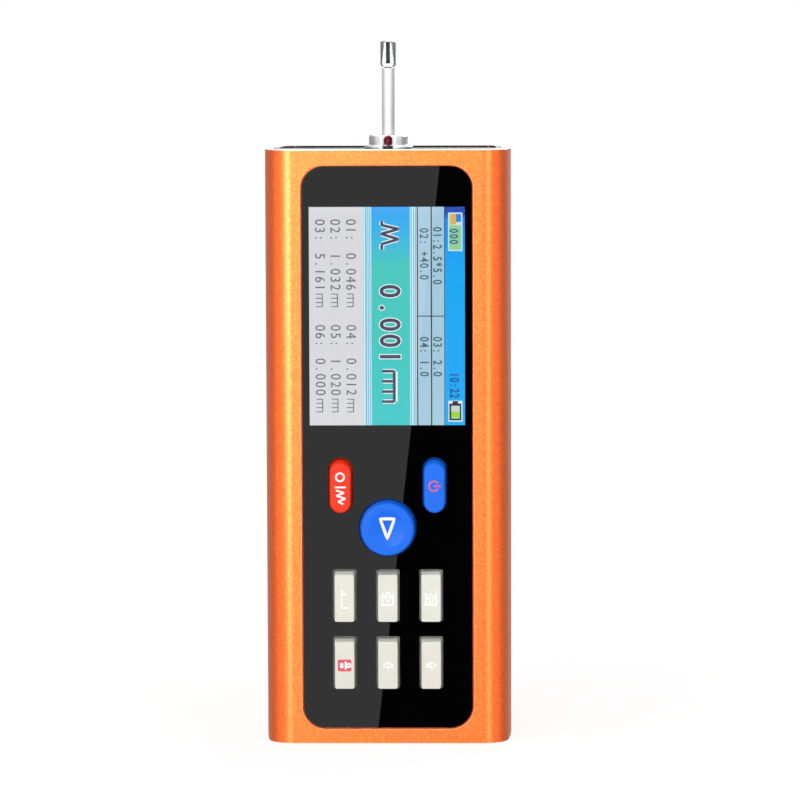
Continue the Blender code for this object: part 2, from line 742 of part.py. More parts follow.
def main_board():
    """The circuit board, in the shell's front rails."""
    low, high = PLATE_THICK + 2 * FIT, PLATE_UNDER_Z - 2 * FIT
    outlines = [rounded_rectangle((0, 0), 2 * BOARD_HALF_WIDTH, high - low, 2 * FIT)]
    for x in (-1, 1):
        for z in (-1, 1):
            middle = (
                x * (CHANNEL_X - BOARD_HOLE_INSET),
                z * ((high - low) / 2 - BOARD_HOLE_INSET),
            )
            outlines.append(circle(middle, BOARD_HOLE_RADIUS, TINY_STEPS))
    place = (0, (BOARD_FRONT_Y + BOARD_BACK_Y) / 2, (high + low) / 2)
    return sheet_of("main_board", outlines, BOARD_THICK, place, "green_board", FACE_TURN)


def cap_base(outline, name):
    """A cap's hidden foot: its flange behind the panel and its stem."""
    flange = sheet_of(
        f"{name}_flange",
        [outline],
        CAP_FLANGE_THICK,
        (0, 0, -(PANEL_THICK + FIT) - CAP_FLANGE_THICK / 2),
    )
    top = -(PANEL_THICK + FIT) - CAP_FLANGE_THICK / 2
    stem = rod(f"{name}_stem", STEM_RADIUS, FRONT_Y - STEM_END_Y, top, (0, 0, 0), steps=HIDDEN_STEPS)
    return flange, stem


def start_button():
    """The round cap, turned with a shallow dish."""
    shares = [step / DISH_STEPS for step in range(DISH_STEPS + 1)]
    dish = [(DISH_RADIUS * share, START_PROUD - DISH_DEPTH * (1 - share**2)) for share in shares]
    shoulder = arc((START_RADIUS - START_EDGE, START_PROUD - START_EDGE), START_EDGE, 90, 0, SHOULDER_STEPS)
    flange_top = -(PANEL_THICK + FIT)
    flange_low = flange_top - CAP_FLANGE_THICK
    foot = [
        (START_RADIUS, flange_top),
        (START_RADIUS + CAP_FLANGE, flange_top),
        (START_RADIUS + CAP_FLANGE, flange_low),
        (STEM_RADIUS, flange_low),
        (STEM_RADIUS, FRONT_Y - STEM_END_Y),
        (0, FRONT_Y - STEM_END_Y),
    ]
    return turned(
        "start_button",
        dish + shoulder + foot,
        (0, FRONT_Y, START_Z),
        "blue_plastic",
        FACE_TURN,
        BUTTON_STEPS,
    )


def oblong_caps():
    """The red mode cap and the blue power cap, with half-round ends and rounded faces."""
    made = []
    for name, side, colour in (
        ("mode_button", -1, "red_plastic"),
        ("power_button", 1, "blue_plastic"),
    ):
        root = -(PANEL_THICK + FIT) - OBLONG_EDGE
        head = sheet_of(
            name,
            [cap_outline(name, 0)],
            OBLONG_PROUD - root,
            (0, 0, (OBLONG_PROUD + root) / 2),
            colour,
        )
        head = made_mesh(head)
        round_edges(head, OBLONG_EDGE)
        join(head, *cap_base(cap_outline(name, CAP_FLANGE), name))
        cap = made_mesh(head)
        cap.data.transform(cap.matrix_world)
        cap.matrix_world = Matrix.Identity(4)
        cap.rotation_euler = FACE_TURN
        cap.location = (side * OBLONG_SPREAD, FRONT_Y, OBLONG_Z)
        made.append(cap)
    return made


def key_caps():
    """The six cream keys: one drafted cap and its copies."""
    root = -(PANEL_THICK + FIT) - CAP_FLANGE_THICK / 2
    scale = (
        (KEY_WIDTH - 2 * KEY_DRAFT) / KEY_WIDTH,
        (KEY_HEIGHT - 2 * KEY_DRAFT) / KEY_HEIGHT,
    )
    places = list(key_places().items())
    name, (x, z) = places[0]
    head = block(
        name,
        (KEY_WIDTH, KEY_HEIGHT, KEY_PROUD - root),
        (0, 0, (KEY_PROUD + root) / 2),
        "cream_plastic",
        edge=KEY_EDGE,
        top_scale=scale,
    )
    join(head, *cap_base(cap_outline(name, CAP_FLANGE), name))
    cap = made_mesh(head)
    cap.data.transform(cap.matrix_world)
    cap.matrix_world = Matrix.Identity(4)
    cap.rotation_euler = FACE_TURN
    cap.location = (x, FRONT_Y, z)
    return [cap] + [copy_of(cap, other, (x, FRONT_Y, z)) for other, (x, z) in places[1:]]


def key_guide():
    """The plate that guides the stems, on four posts off the main board."""
    half, low, high = keypad_bounds()
    middle = (low + high) / 2
    outlines = [rounded_rectangle((0, 0), 2 * half, high - low - 2 * FIT, GUIDE_POST_RADIUS)]
    for x, z in button_places().values():
        outlines.append(moved(circle((0, 0), STEM_RADIUS + FIT, HIDDEN_STEPS), x, z - middle))
    place = (0, GUIDE_FRONT_Y + GUIDE_THICK / 2, middle)
    plate = sheet_of("key_guide", outlines, GUIDE_THICK, place, "black_plastic", FACE_TURN)
    plate = made_mesh(plate)
    for x in (-1, 1):
        for z in (low + 2 * GUIDE_POST_RADIUS, high - 2 * GUIDE_POST_RADIUS):
            post = rod(
                f"guide_post_{x}_{z:.3f}",
                GUIDE_POST_RADIUS,
                -(BOARD_FRONT_Y - FIT),
                -(GUIDE_FRONT_Y + GUIDE_THICK / 2),
                (x * (half - GUIDE_POST_RADIUS - FIT), 0, z),
                turn=FACE_TURN,
                steps=TINY_STEPS,
            )
            join(plate, post)
    return plate


def switches():
    """One push switch on the board behind each cap."""
    made = []
    for name, (x, z) in button_places().items():
        place = (x, SWITCH_BACK_Y, z)
        if made:
            made.append(copy_of(made[0], f"{name}_switch", place))
            continue
        body = block(
            f"{name}_switch",
            (SWITCH_SIDE, SWITCH_SIDE, SWITCH_BODY),
            (0, 0, SWITCH_BODY / 2),
            "black_plastic",
        )
        tip = SWITCH_BODY + PLUNGER_RISE
        join(body, rod("plunger", PLUNGER_RADIUS, SWITCH_BODY / 2, tip, (0, 0, 0), steps=HIDDEN_STEPS))
        switch = made_mesh(body)
        switch.data.transform(switch.matrix_world)
        switch.matrix_world = Matrix.Identity(4)
        switch.rotation_euler = FACE_TURN
        switch.location = place
        made.append(switch)
    return made


def battery():
    """The cell and the tray that holds it to the back of the board."""
    low = PLATE_THICK + 2 * FIT + TRAY_WALL + 2 * FIT
    size = (BATTERY_WIDTH, BATTERY_THICK, BATTERY_HEIGHT)
    centre = (0, BATTERY_FRONT_Y + BATTERY_THICK / 2, low + BATTERY_HEIGHT / 2)
    block("battery_pack", size, centre, "battery_wrap", edge=BATTERY_EDGE)
    outer = (
        BATTERY_WIDTH + 2 * (FIT + TRAY_WALL),
        TRAY_DEPTH,
        BATTERY_HEIGHT + 2 * (FIT + TRAY_WALL),
    )
    tray_centre = (0, TRAY_FRONT_Y + TRAY_DEPTH / 2, centre[2])
    tray = block("battery_tray", outer, tray_centre, "black_plastic")
    inner = (outer[0] - 2 * TRAY_WALL, 2 * (TRAY_DEPTH - TRAY_FLOOR), outer[2] - 2 * TRAY_WALL)
    pocket = block("tray_pocket", inner, (0, TRAY_FRONT_Y + TRAY_DEPTH, centre[2]))
    lead = (TRAY_LEAD_GAP, TRAY_DEPTH, 4 * TRAY_WALL)
    place = (0, TRAY_FRONT_Y + TRAY_FLOOR + TRAY_DEPTH / 2, centre[2] + outer[2] / 2)
    cut(tray, pocket, block("tray_lead_gap", lead, place))


def charge_board():
    """The charging board in the shell's rear rails, with its socket at the lower end."""
    low = PLATE_THICK + 2 * FIT
    outline = rounded_rectangle((0, 0), 2 * BOARD_HALF_WIDTH, CHARGE_BOARD_HEIGHT, 2 * FIT)
    place = (0, (CHARGE_BOARD_FRONT_Y + CHARGE_BOARD_BACK_Y) / 2, low + CHARGE_BOARD_HEIGHT / 2)
    sheet_of(
        "charge_board", [outline], CHARGE_BOARD_THICK, place, "green_board", FACE_TURN
    )
    corner = SOCKET_THICK / 2 - SOCKET_SKIN
    body = sheet_of(
        "usb_socket",
        [rounded_rectangle((0, 0), SOCKET_WIDTH, SOCKET_THICK, corner)],
        SOCKET_LENGTH,
        (0, SOCKET_Y, FIT + SOCKET_LENGTH / 2),
        "bright_steel",
    )
    body = made_mesh(body)
    inner_width = SOCKET_WIDTH - 2 * SOCKET_SKIN
    inner_thick = SOCKET_THICK - 2 * SOCKET_SKIN
    depth = SOCKET_LENGTH - 3 * SOCKET_SKIN
    cavity = sheet_of(
        "socket_cavity",
        [rounded_rectangle((0, 0), inner_width, inner_thick, corner - SOCKET_SKIN)],
        2 * depth,
        (0, SOCKET_Y, FIT),
    )
    cut(body, cavity)
    size = (TONGUE_WIDTH, TONGUE_THICK, SOCKET_LENGTH - 4 * SOCKET_SKIN)
    tongue = block("socket_tongue", size, (0, SOCKET_Y, FIT + SOCKET_LENGTH - SOCKET_SKIN - size[2] / 2))
    return join(body, tongue)


def screw_cutters(name, face_z, direction):
    """Counterbores for the four end screws in a plate, open at face_z."""
    depth = HEAD_HEIGHT + FIT
    cutters = []
    for index, (x, y) in enumerate(channel_places()):
        low, high = sorted((face_z - direction * depth, face_z + direction * depth))
        cutters.append(rod(f"{name}_bore_{index}", HEAD_RADIUS + FIT, low, high, (x, y, 0)))
    return cutters


def top_end_plate():
    """The upper plate, recessed inside a raised rim, with the collar's hole and the lamp's."""
    inset = BODY_WALL + FIT
    thick = PLATE_THICK + PLATE_RIM_HEIGHT
    outlines = [body_outline(inset), circle((0, PROBE_Y), SPIGOT_RADIUS + FIT, ROUND_STEPS)]
    outlines.append(circle((0, LAMP_Y), LAMP_PIN_RADIUS + FIT, TINY_STEPS))
    for place in channel_places():
        outlines.append(circle(place, SHANK_RADIUS + FIT, TINY_STEPS))
    centre = (0, 0, PLATE_UNDER_Z + thick / 2)
    plate = made_mesh(sheet_of("top_end_plate", outlines, thick, centre, "black_anodised"))
    recess = sheet_of(
        "plate_recess",
        [body_outline(inset + PLATE_RIM_WIDTH)],
        2 * PLATE_RIM_HEIGHT,
        (0, 0, BODY_HEIGHT),
    )
    return cut(plate, recess, *screw_cutters("top_plate", PLATE_TOP_Z, 1))


def bottom_end_plate():
    """The lower plate, which the tester stands on, with the slot for the charging socket."""
    outlines = [body_outline(BODY_WALL + FIT)]
    outlines.append(
        rounded_rectangle(
            (0, SOCKET_Y),
            SOCKET_WIDTH + 2 * FIT,
            SOCKET_THICK + 2 * FIT,
            SOCKET_THICK / 2 - SOCKET_SKIN + FIT,
        )
    )
    for place in channel_places():
        outlines.append(circle(place, SHANK_RADIUS + FIT, TINY_STEPS))
    centre = (0, 0, PLATE_THICK / 2)
    plate = sheet_of("bottom_end_plate", outlines, PLATE_THICK, centre, "black_anodised")
    return cut(made_mesh(plate), *screw_cutters("bottom_plate", 0, -1))


def end_screws():
    """Four socket screws at each end, in the tube's channels."""
    profile = [
        (0, HEAD_HEIGHT),
        (HEAD_RADIUS - HEAD_CHAMFER, HEAD_HEIGHT),
        (HEAD_RADIUS, HEAD_HEIGHT - HEAD_CHAMFER),
        (HEAD_RADIUS, 0),
        (SHANK_RADIUS, 0),
        (SHANK_RADIUS, -SHANK_LENGTH),
        (0, -SHANK_LENGTH),
    ]
    first = turned("top_screw_1", profile, (0, 0, 0), "bright_steel", steps=TINY_STEPS)
    hexagon = rod("screw_hex", HEX_RADIUS, HEAD_HEIGHT - HEX_DEPTH, 2 * HEAD_HEIGHT, (0, 0, 0), steps=6)
    cut(first, hexagon)
    screw = made_mesh(first)
    seat = PLATE_TOP_Z - HEAD_HEIGHT
    for index, (x, y) in enumerate(channel_places()):
        if index == 0:
            screw.location = (x, y, seat)
        else:
            copy_of(screw, f"top_screw_{index + 1}", (x, y, seat))
        lower = copy_of(screw, f"bottom_screw_{index + 1}", (x, y, HEAD_HEIGHT))
        lower.rotation_euler = (math.pi, 0, 0)


def probe_collar():
    """The flanged collar round the pickup, notched in front for the lamp, and its nut."""
    top = COLLAR_HIGH_Z
    shoulder = COLLAR_LOW_Z + COLLAR_FLANGE_THICK
    profile = [
        (COLLAR_BORE, top),
        (COLLAR_RADIUS - COLLAR_EDGE, top),
        (COLLAR_RADIUS, top - COLLAR_EDGE),
        (COLLAR_RADIUS, shoulder),
        (COLLAR_FLANGE_RADIUS - COLLAR_EDGE, shoulder),
        (COLLAR_FLANGE_RADIUS, shoulder - COLLAR_EDGE),
        (COLLAR_FLANGE_RADIUS, COLLAR_LOW_Z),
        (SPIGOT_RADIUS, COLLAR_LOW_Z),
        (SPIGOT_RADIUS, COLLAR_LOW_Z - SPIGOT_LENGTH),
        (COLLAR_BORE, COLLAR_LOW_Z - SPIGOT_LENGTH),
    ]
    collar = turned("probe_collar", profile, (0, PROBE_Y, 0), "bright_steel", steps=FINE_STEPS, ring=True)
    width = 2 * (SEAT_RADIUS + FIT)
    back = PROBE_Y - COLLAR_BORE - COLLAR_WALL
    front = PROBE_Y - 2 * COLLAR_FLANGE_RADIUS
    low = COLLAR_LOW_Z - FIT
    notch_size = (width, back - front, 2 * (top - low))
    cut(collar, block("lamp_notch", notch_size, (0, (back + front) / 2, low + (top - low))))
    nut_radius = NUT_FLATS / 2 / math.cos(math.pi / 6)
    outlines = [circle((0, 0), nut_radius, 6), circle((0, 0), SPIGOT_RADIUS + FIT, ROUND_STEPS)]
    place = (0, PROBE_Y, PLATE_UNDER_Z - FIT - NUT_THICK / 2)
    sheet_of("collar_nut", outlines, NUT_THICK, place, "bare_aluminium")


def index_lamp():
    """The red lens at the collar, on its black seat, with its pin through the plate."""
    seat_top = COLLAR_LOW_Z + SEAT_HEIGHT
    bore = LAMP_PIN_RADIUS + FIT
    turned(
        "lamp_seat",
        [
            (bore, seat_top),
            (SEAT_RADIUS, seat_top),
            (SEAT_RADIUS, COLLAR_LOW_Z),
            (bore, COLLAR_LOW_Z),
        ],
        (0, LAMP_Y, 0),
        "black_plastic",
        steps=SMALL_STEPS,
        ring=True,
    )
    low = seat_top + FIT
    high = low + LAMP_HEIGHT
    dome = arc((0, high - LAMP_RADIUS), LAMP_RADIUS, 90, 0, DOME_STEPS)
    foot = [
        (LAMP_RADIUS, low),
        (LAMP_PIN_RADIUS, low),
        (LAMP_PIN_RADIUS, PLATE_UNDER_Z),
        (0, PLATE_UNDER_Z),
    ]
    turned("index_lamp", dome + foot, (0, LAMP_Y, 0), "red_lens", steps=SMALL_STEPS)


def drive_frame():
    """The C-shaped frame of the traverse, on the back wall, with a bridge at each end."""
    low = BRIDGE_LOW_Z - GEARBOX_LENGTH
    high = BRIDGE_HIGH_Z + BRIDGE_THICK
    size = (2 * FRAME_HALF_WIDTH, FRAME_THICK, high - low)
    centre = (0, (FRAME_FRONT_Y + FRAME_BACK_Y) / 2, (low + high) / 2)
    frame = block("drive_frame", size, centre, "bare_aluminium")
    back = (FRAME_FRONT_Y + FRAME_BACK_Y) / 2
    lower_front = SCREW_Y - MOTOR_RADIUS
    upper_front = PROBE_Y - PICKUP_RADIUS - CARRIAGE_WALL
    for name, front, z in (
        ("lower_bridge", lower_front, BRIDGE_LOW_Z),
        ("upper_bridge", upper_front, BRIDGE_HIGH_Z),
    ):
        bridge_size = (2 * FRAME_HALF_WIDTH, back - front, BRIDGE_THICK)
        join(frame, block(name, bridge_size, (0, (back + front) / 2, z + BRIDGE_THICK / 2)))
    bush = SHAFT_RADIUS + FIT + BUSH_WALL + FIT
    lower = (BRIDGE_LOW_Z - FIT, BRIDGE_LOW_Z + BRIDGE_THICK + FIT)
    upper = (BRIDGE_HIGH_Z - FIT, BRIDGE_HIGH_Z + BRIDGE_THICK + FIT)
    cut(frame, rod("bush_bore", bush, *lower, (0, SCREW_Y, 0)))
    cut(frame, rod("screw_bore", SCREW_RADIUS + FIT, *upper, (0, SCREW_Y, 0)))
    cut(frame, rod("tube_bore", TUBE_RADIUS + 3 * FIT, *upper, (0, PROBE_Y, 0)))
    for side in (-1, 1):
        for name, span in (("lower", lower), ("upper", upper)):
            place = (side * ROD_SPREAD, SCREW_Y, 0)
            cut(frame, rod(f"rod_bore_{name}_{side}", ROD_RADIUS + FIT, *span, place))
    return frame


def guide_rods():
    for name, side in (("guide_rod_left", -1), ("guide_rod_right", 1)):
        rod(
            name,
            ROD_RADIUS,
            BRIDGE_LOW_Z,
            BRIDGE_HIGH_Z + BRIDGE_THICK,
            (side * ROD_SPREAD, SCREW_Y, 0),
            "bright_steel",
        )


def gear_motor():
    """The motor with its gearbox, as one turned body with the shaft's bore."""
    top = MOTOR_TOP_Z
    gearbox_low = top - GEARBOX_LENGTH
    can_low = gearbox_low - MOTOR_CAN_LENGTH
    bore = SHAFT_RADIUS + FIT
    profile = [
        (bore, top),
        (MOTOR_RADIUS - MOTOR_EDGE, top),
        (MOTOR_RADIUS, top - MOTOR_EDGE),
        (MOTOR_RADIUS, gearbox_low),
        (MOTOR_CAN_RADIUS, gearbox_low),
        (MOTOR_CAN_RADIUS, can_low + MOTOR_EDGE),
        (MOTOR_CAN_RADIUS - MOTOR_EDGE, can_low),
        (0, can_low),
        (0, top - SHAFT_ENGAGE - FIT),
        (bore, top - SHAFT_ENGAGE - FIT),
    ]
    turned("gear_motor", profile, (0, SCREW_Y, 0), "bright_steel", ring=True)


def screw_line():
    """What turns: the motor's shaft, the coupling and the lead screw, on one axis."""
    axis = (0, SCREW_Y, COUPLING_LOW_Z)
    middle = (COUPLING_LOW_Z + COUPLING_HIGH_Z) / 2
    shaft = rod(
        "motor_shaft",
        SHAFT_RADIUS,
        MOTOR_TOP_Z - SHAFT_ENGAGE - COUPLING_LOW_Z,
        middle - FIT - COUPLING_LOW_Z,
        axis,
        "bright_steel",
    )
    bore_low, bore_high = SHAFT_RADIUS + FIT, SCREW_RADIUS + FIT
    profile = [
        (bore_high, COUPLING_LENGTH),
        (COUPLING_RADIUS, COUPLING_LENGTH),
        (COUPLING_RADIUS, 0),
        (bore_low, 0),
        (bore_low, COUPLING_LENGTH / 2),
        (bore_high, COUPLING_LENGTH / 2),
    ]
    coupling = turned("shaft_coupling", profile, axis, "brass", ring=True)
    screw = rod(
        "lead_screw",
        SCREW_RADIUS,
        middle + FIT - COUPLING_LOW_Z,
        BRIDGE_HIGH_Z + BRIDGE_THICK - COUPLING_LOW_Z,
        axis,
        "bright_steel",
    )
    carry("screw_axis", axis, [shaft, coupling, screw])
    inner = SHAFT_RADIUS + FIT
    bush = [
        (inner, BRIDGE_LOW_Z + BRIDGE_THICK),
        (inner + BUSH_WALL, BRIDGE_LOW_Z + BRIDGE_THICK),
        (inner + BUSH_WALL, BRIDGE_LOW_Z),
        (inner, BRIDGE_LOW_Z),
    ]
    turned("screw_bush", bush, (0, SCREW_Y, 0), "brass", steps=SMALL_STEPS, ring=True)


def carriage():
    """The block on the guide rods, with the nut behind and the pickup's socket in front."""
    half_width = ROD_SPREAD + ROD_RADIUS + ROD_FIT + CARRIAGE_WALL
    half_depth = ROD_RADIUS + ROD_FIT + CARRIAGE_WALL
    middle = (CARRIAGE_LOW_Z + CARRIAGE_HIGH_Z) / 2
    size = (2 * half_width, 2 * half_depth, CARRIAGE_HEIGHT)
    body = block("carriage", size, (0, SCREW_Y, middle), "black_plastic")
    ring = PLUG_RADIUS + FIT + SOCKET_RING_WALL
    arm_half = ring + FIT + CARRIAGE_WALL
    front = PROBE_Y - arm_half
    arm_size = (2 * arm_half, SCREW_Y - front, CARRIAGE_HEIGHT)
    join(body, block("carriage_arm", arm_size, (0, (SCREW_Y + front) / 2, middle)))
    low, high = CARRIAGE_LOW_Z - FIT, CARRIAGE_HIGH_Z + FIT
    nut = SCREW_RADIUS + FIT + NUT_WALL
    cut(body, rod("nut_bore", nut + FIT, low, high, (0, SCREW_Y, 0)))
    cut(body, rod("socket_bore", ring + FIT, low, high, (0, PROBE_Y, 0)))
    for side in (-1, 1):
        place = (side * ROD_SPREAD, SCREW_Y, 0)
        cut(body, rod(f"carriage_rod_bore_{side}", ROD_RADIUS + ROD_FIT, low, high, place))
    height = CARRIAGE_HEIGHT
    nut_profile = [
        (SCREW_RADIUS + FIT, height),
        (nut, height),
        (nut, 0),
        (SCREW_RADIUS + FIT, 0),
    ]
    place = (0, SCREW_Y, CARRIAGE_LOW_Z)
    nut_ring = turned("carriage_nut", nut_profile, place, "brass", ring=True)
    depth = PLUG_LENGTH + FIT
    inner = PLUG_RADIUS + FIT
    socket_profile = [
        (inner, height),
        (ring, height),
        (ring, 0),
        (0, 0),
        (0, height - depth),
        (inner, height - depth),
    ]
    place = (0, PROBE_Y, CARRIAGE_LOW_Z)
    socket = turned("pickup_socket", socket_profile, place, "brass", ring=True)
    return [body, nut_ring, socket]


def pickup():
    """The pickup: its body with the plug, its tube and its slotted head."""
    axis = (0, PROBE_Y, PICKUP_LOW_Z)
    seat = TUBE_RADIUS + FIT
    body_profile = [
        (seat, PICKUP_LENGTH),
        (PICKUP_RADIUS - PICKUP_EDGE, PICKUP_LENGTH),
        (PICKUP_RADIUS, PICKUP_LENGTH - PICKUP_EDGE),
        (PICKUP_RADIUS, 0),
        (PLUG_RADIUS, 0),
        (PLUG_RADIUS, -PLUG_LENGTH),
        (0, -PLUG_LENGTH),
        (0, PICKUP_LENGTH - TUBE_SEAT),
        (seat, PICKUP_LENGTH - TUBE_SEAT),
    ]
    body = turned("pickup_body", body_profile, axis, "bright_steel", ring=True)
    low = PICKUP_LENGTH - TUBE_SEAT + FIT
    high = TUBE_TOP_Z - PICKUP_LOW_Z
    tube_profile = [(TUBE_BORE, high), (TUBE_RADIUS, high), (TUBE_RADIUS, low), (TUBE_BORE, low)]
    tube = turned("pickup_tube", tube_profile, axis, "bright_steel", ring=True)
    return [body, tube, pickup_head()]


def pickup_head():
    """The slotted end with rounded shoulders, a tapered foot and a ground relief in front."""
    top = HEAD_END_LENGTH
    centre = (HEAD_END_RADIUS - HEAD_ROUND, top - HEAD_ROUND)
    profile = [(0, top)] + arc(centre, HEAD_ROUND, 90, 0, SHOULDER_STEPS)
    profile += [
        (HEAD_END_RADIUS, HEAD_TAPER),
        (HEAD_NECK_RADIUS, 0),
        (HEAD_SPIGOT_RADIUS, 0),
        (HEAD_SPIGOT_RADIUS, -HEAD_SPIGOT_LENGTH),
        (0, -HEAD_SPIGOT_LENGTH),
    ]
    place = (0, PROBE_Y, HEAD_LOW_Z)
    head = turned("pickup_head", profile, place, "bright_steel", steps=FINE_STEPS)
    slot_size = (SLOT_WIDTH, 4 * HEAD_END_RADIUS, 2 * (top - SLOT_FLOOR))
    slot_place = (0, PROBE_Y, HEAD_LOW_Z + top)
    cross = rod(
        "pivot_bore",
        PIVOT_RADIUS + PIVOT_FIT,
        -2 * HEAD_END_RADIUS,
        2 * HEAD_END_RADIUS,
        (0, PROBE_Y, PIVOT_Z),
        turn=(0, math.pi / 2, 0),
        steps=TINY_STEPS,
    )
    rise = top - HEAD_TAPER
    lean = math.atan2(RELIEF_FOOT - RELIEF_TOP, rise)
    side = 6 * HEAD_END_RADIUS
    relief = block("head_relief", (side, side, 2 * rise), (0, 0, 0), turn=(lean, 0, 0))
    face_y = PROBE_Y - HEAD_END_RADIUS + (RELIEF_FOOT + RELIEF_TOP) / 2
    middle = Vector((0, face_y, HEAD_LOW_Z + HEAD_TAPER + rise / 2))
    relief.location = middle - Vector((0, math.cos(lean), math.sin(lean))) * side / 2
    return cut(head, block("head_slot", slot_size, slot_place), cross, relief)


def stylus():
    """The lever on its pivot pin, with the diamond tip that points to the back."""
    eye = arc((0, 0), LEVER_EYE_RADIUS, 180, 360, DOME_STEPS)
    nose = arc((0, LEVER_LENGTH - LEVER_NOSE_RADIUS), LEVER_NOSE_RADIUS, 0, 180, DOME_STEPS)
    hole = circle((0, 0), PIVOT_RADIUS + PIVOT_FIT, TINY_STEPS)
    axis = (0, PROBE_Y, PIVOT_Z)
    upright = (math.pi / 2, 0, math.pi / 2)
    lever = sheet_of("stylus_lever", [eye + nose, hole], LEVER_THICK, axis, "bright_steel", upright)
    sideways = (0, math.pi / 2, 0)
    half = PIVOT_LENGTH / 2
    pin = rod("stylus_pivot_pin", PIVOT_RADIUS, -half, half, axis, "brass", sideways, steps=TINY_STEPS)
    base = LEVER_NOSE_RADIUS + TIP_SEAT
    reach = HEAD_END_RADIUS + TIP_REACH
    profile = [
        (0, reach),
        (TIP_RADIUS, reach - 2 * TIP_RADIUS),
        (TIP_RADIUS, base),
        (0, base),
    ]
    place = (0, PROBE_Y, PIVOT_Z + LEVER_LENGTH - LEVER_NOSE_RADIUS)
    tip = turned("stylus_tip", profile, place, "diamond", (-math.pi / 2, 0, 0), steps=TINY_STEPS)
    carry("stylus_axis", axis, [lever, tip])
    return [pin]


def build():
    clear_scene()
    housing_shell()
    front_panel()
    display_window()
    lcd_panel()
    display_carrier()
    main_board()
    start_button()
    oblong_caps()
    key_caps()
    key_guide()
    switches()
    battery()
    charge_board()
    top_end_plate()
    bottom_end_plate()
    end_screws()
    probe_collar()
    index_lamp()
    drive_frame()
    guide_rods()
    gear_motor()
    screw_line()
    moving = carriage() + pickup() + stylus()
    carry("traverse_axis", (0, PROBE_Y, CARRIAGE_LOW_Z), moving)


build()
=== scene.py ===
"""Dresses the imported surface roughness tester: its skin, panel, lit display, caps, pickup and studio."""

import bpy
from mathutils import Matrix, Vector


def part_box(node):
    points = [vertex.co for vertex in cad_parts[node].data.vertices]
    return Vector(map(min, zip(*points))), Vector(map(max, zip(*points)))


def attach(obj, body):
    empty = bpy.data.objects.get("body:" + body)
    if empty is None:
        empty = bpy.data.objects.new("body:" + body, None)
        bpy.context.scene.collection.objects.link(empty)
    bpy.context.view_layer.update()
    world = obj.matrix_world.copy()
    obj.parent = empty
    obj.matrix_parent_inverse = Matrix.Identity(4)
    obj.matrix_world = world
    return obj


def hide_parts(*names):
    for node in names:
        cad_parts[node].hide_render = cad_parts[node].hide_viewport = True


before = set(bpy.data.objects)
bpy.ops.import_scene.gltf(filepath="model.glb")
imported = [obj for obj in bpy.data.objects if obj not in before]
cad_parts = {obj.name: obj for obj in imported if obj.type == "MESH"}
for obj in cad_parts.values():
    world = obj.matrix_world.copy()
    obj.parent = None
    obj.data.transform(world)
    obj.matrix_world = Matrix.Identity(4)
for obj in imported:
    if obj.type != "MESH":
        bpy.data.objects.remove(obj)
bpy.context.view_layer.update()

import math

import bmesh
import bpy
from mathutils import Matrix, Vector

bl_info = {
    "name": "Surface roughness tester",
    "version": (1, 0, 0),
    "blender": (4, 5, 0),
    "location": "3D View > Sidebar > Tester",
    "description": "Models the tester's visible pieces around its packed frame",
    "category": "Object",
}

MM = 0.001

# How near to a level a point counts as on it, and how near to flat a face counts as flat.
NEAR = 1e-6
FLAT = 0.999

ALONG_Y = (0, 1, 0)
ALONG_Z = (0, 0, 1)

# Two rounds that would meet stop just short of each other.
ROUND_END = 0.999

# The tube and the panel, read from the frame where the frame has them.
SHELL_LOW, SHELL_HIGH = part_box("housing_shell")
PANEL_LOW, PANEL_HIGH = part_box("front_panel")
WINDOW_LOW, WINDOW_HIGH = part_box("display_window")
BODY_CORNER = 6.2 * MM
SIDE_BOW = 0.8 * MM
BODY_WALL = 2.2 * MM
FIT = 0.3 * MM
PANEL_CORNER = 5.2 * MM
LEDGE_Y = PANEL_HIGH.y + FIT
FRONT_WALL_Y = SHELL_LOW.y + BODY_WALL
CHANNEL_RADIUS = 2.5 * MM
CHANNEL_WEB = 1.0 * MM
SHANK_HOLE_RADIUS = 1.1 * MM
SCREEN_OPENING = 19.05 * MM
END_SCREWS = ("bottom_screw_1", "bottom_screw_2", "bottom_screw_3", "bottom_screw_4")

# The caps: the body that each rides on, and the sizes that they share.
KEYS = {
    "enter_key": "enter_cap",
    "tray_down_key": "tray_down_cap",
    "tray_up_key": "tray_up_cap",
    "save_key": "save_cap",
    "left_key": "left_cap",
    "right_key": "right_cap",
}
OBLONGS = {"mode_button": "mode_cap", "power_button": "power_cap"}
KEY_SIZE = (5.0 * MM, 11.9 * MM)
OBLONG_SIZE = (5.3 * MM, 12.6 * MM)
KEY_SLOPE = 0.7 * MM
KEY_RELIEF = 0.08 * MM
KEY_CORNER = 0.45 * MM
KEY_EDGE = 0.16 * MM
OBLONG_SLOPE = 0.9 * MM
START_RADIUS = 6.6 * MM
START_FRONT_RADIUS = 6.2 * MM
DISH_RADIUS = 4.5 * MM
DISH_DEPTH = 0.7 * MM
DISH_RINGS = 9
CAP_FLANGE = 0.6 * MM
CAP_FLANGE_THICK = 0.8 * MM
STEM_RADIUS = 1.3 * MM
CAP_END_Y = -16.4 * MM
MARK_RADIUS = 0.23 * MM
MODE_MARK_RADIUS = 0.21 * MM
POWER_MARK_RADIUS = 0.2 * MM
START_MARK_RADIUS = 0.38 * MM
START_MARK_STEPS = 8

# The end plates, the collar and the pickup.
RECESS_LIFT = 0.2 * MM
EDGE_ROUND = 0.08 * MM
COLLAR_ROUND = 0.12 * MM
FINE_ROUND = 0.04 * MM
PICKUP_BORE = 1.1 * MM
# How far the lever is widened and lengthened, so that, near black, it fills the head's slot as painted shade.
LEVER_SLOT_SHADE_SPREAD = 1.8
LEVER_SLOT_SHADE_RISE = 1.18


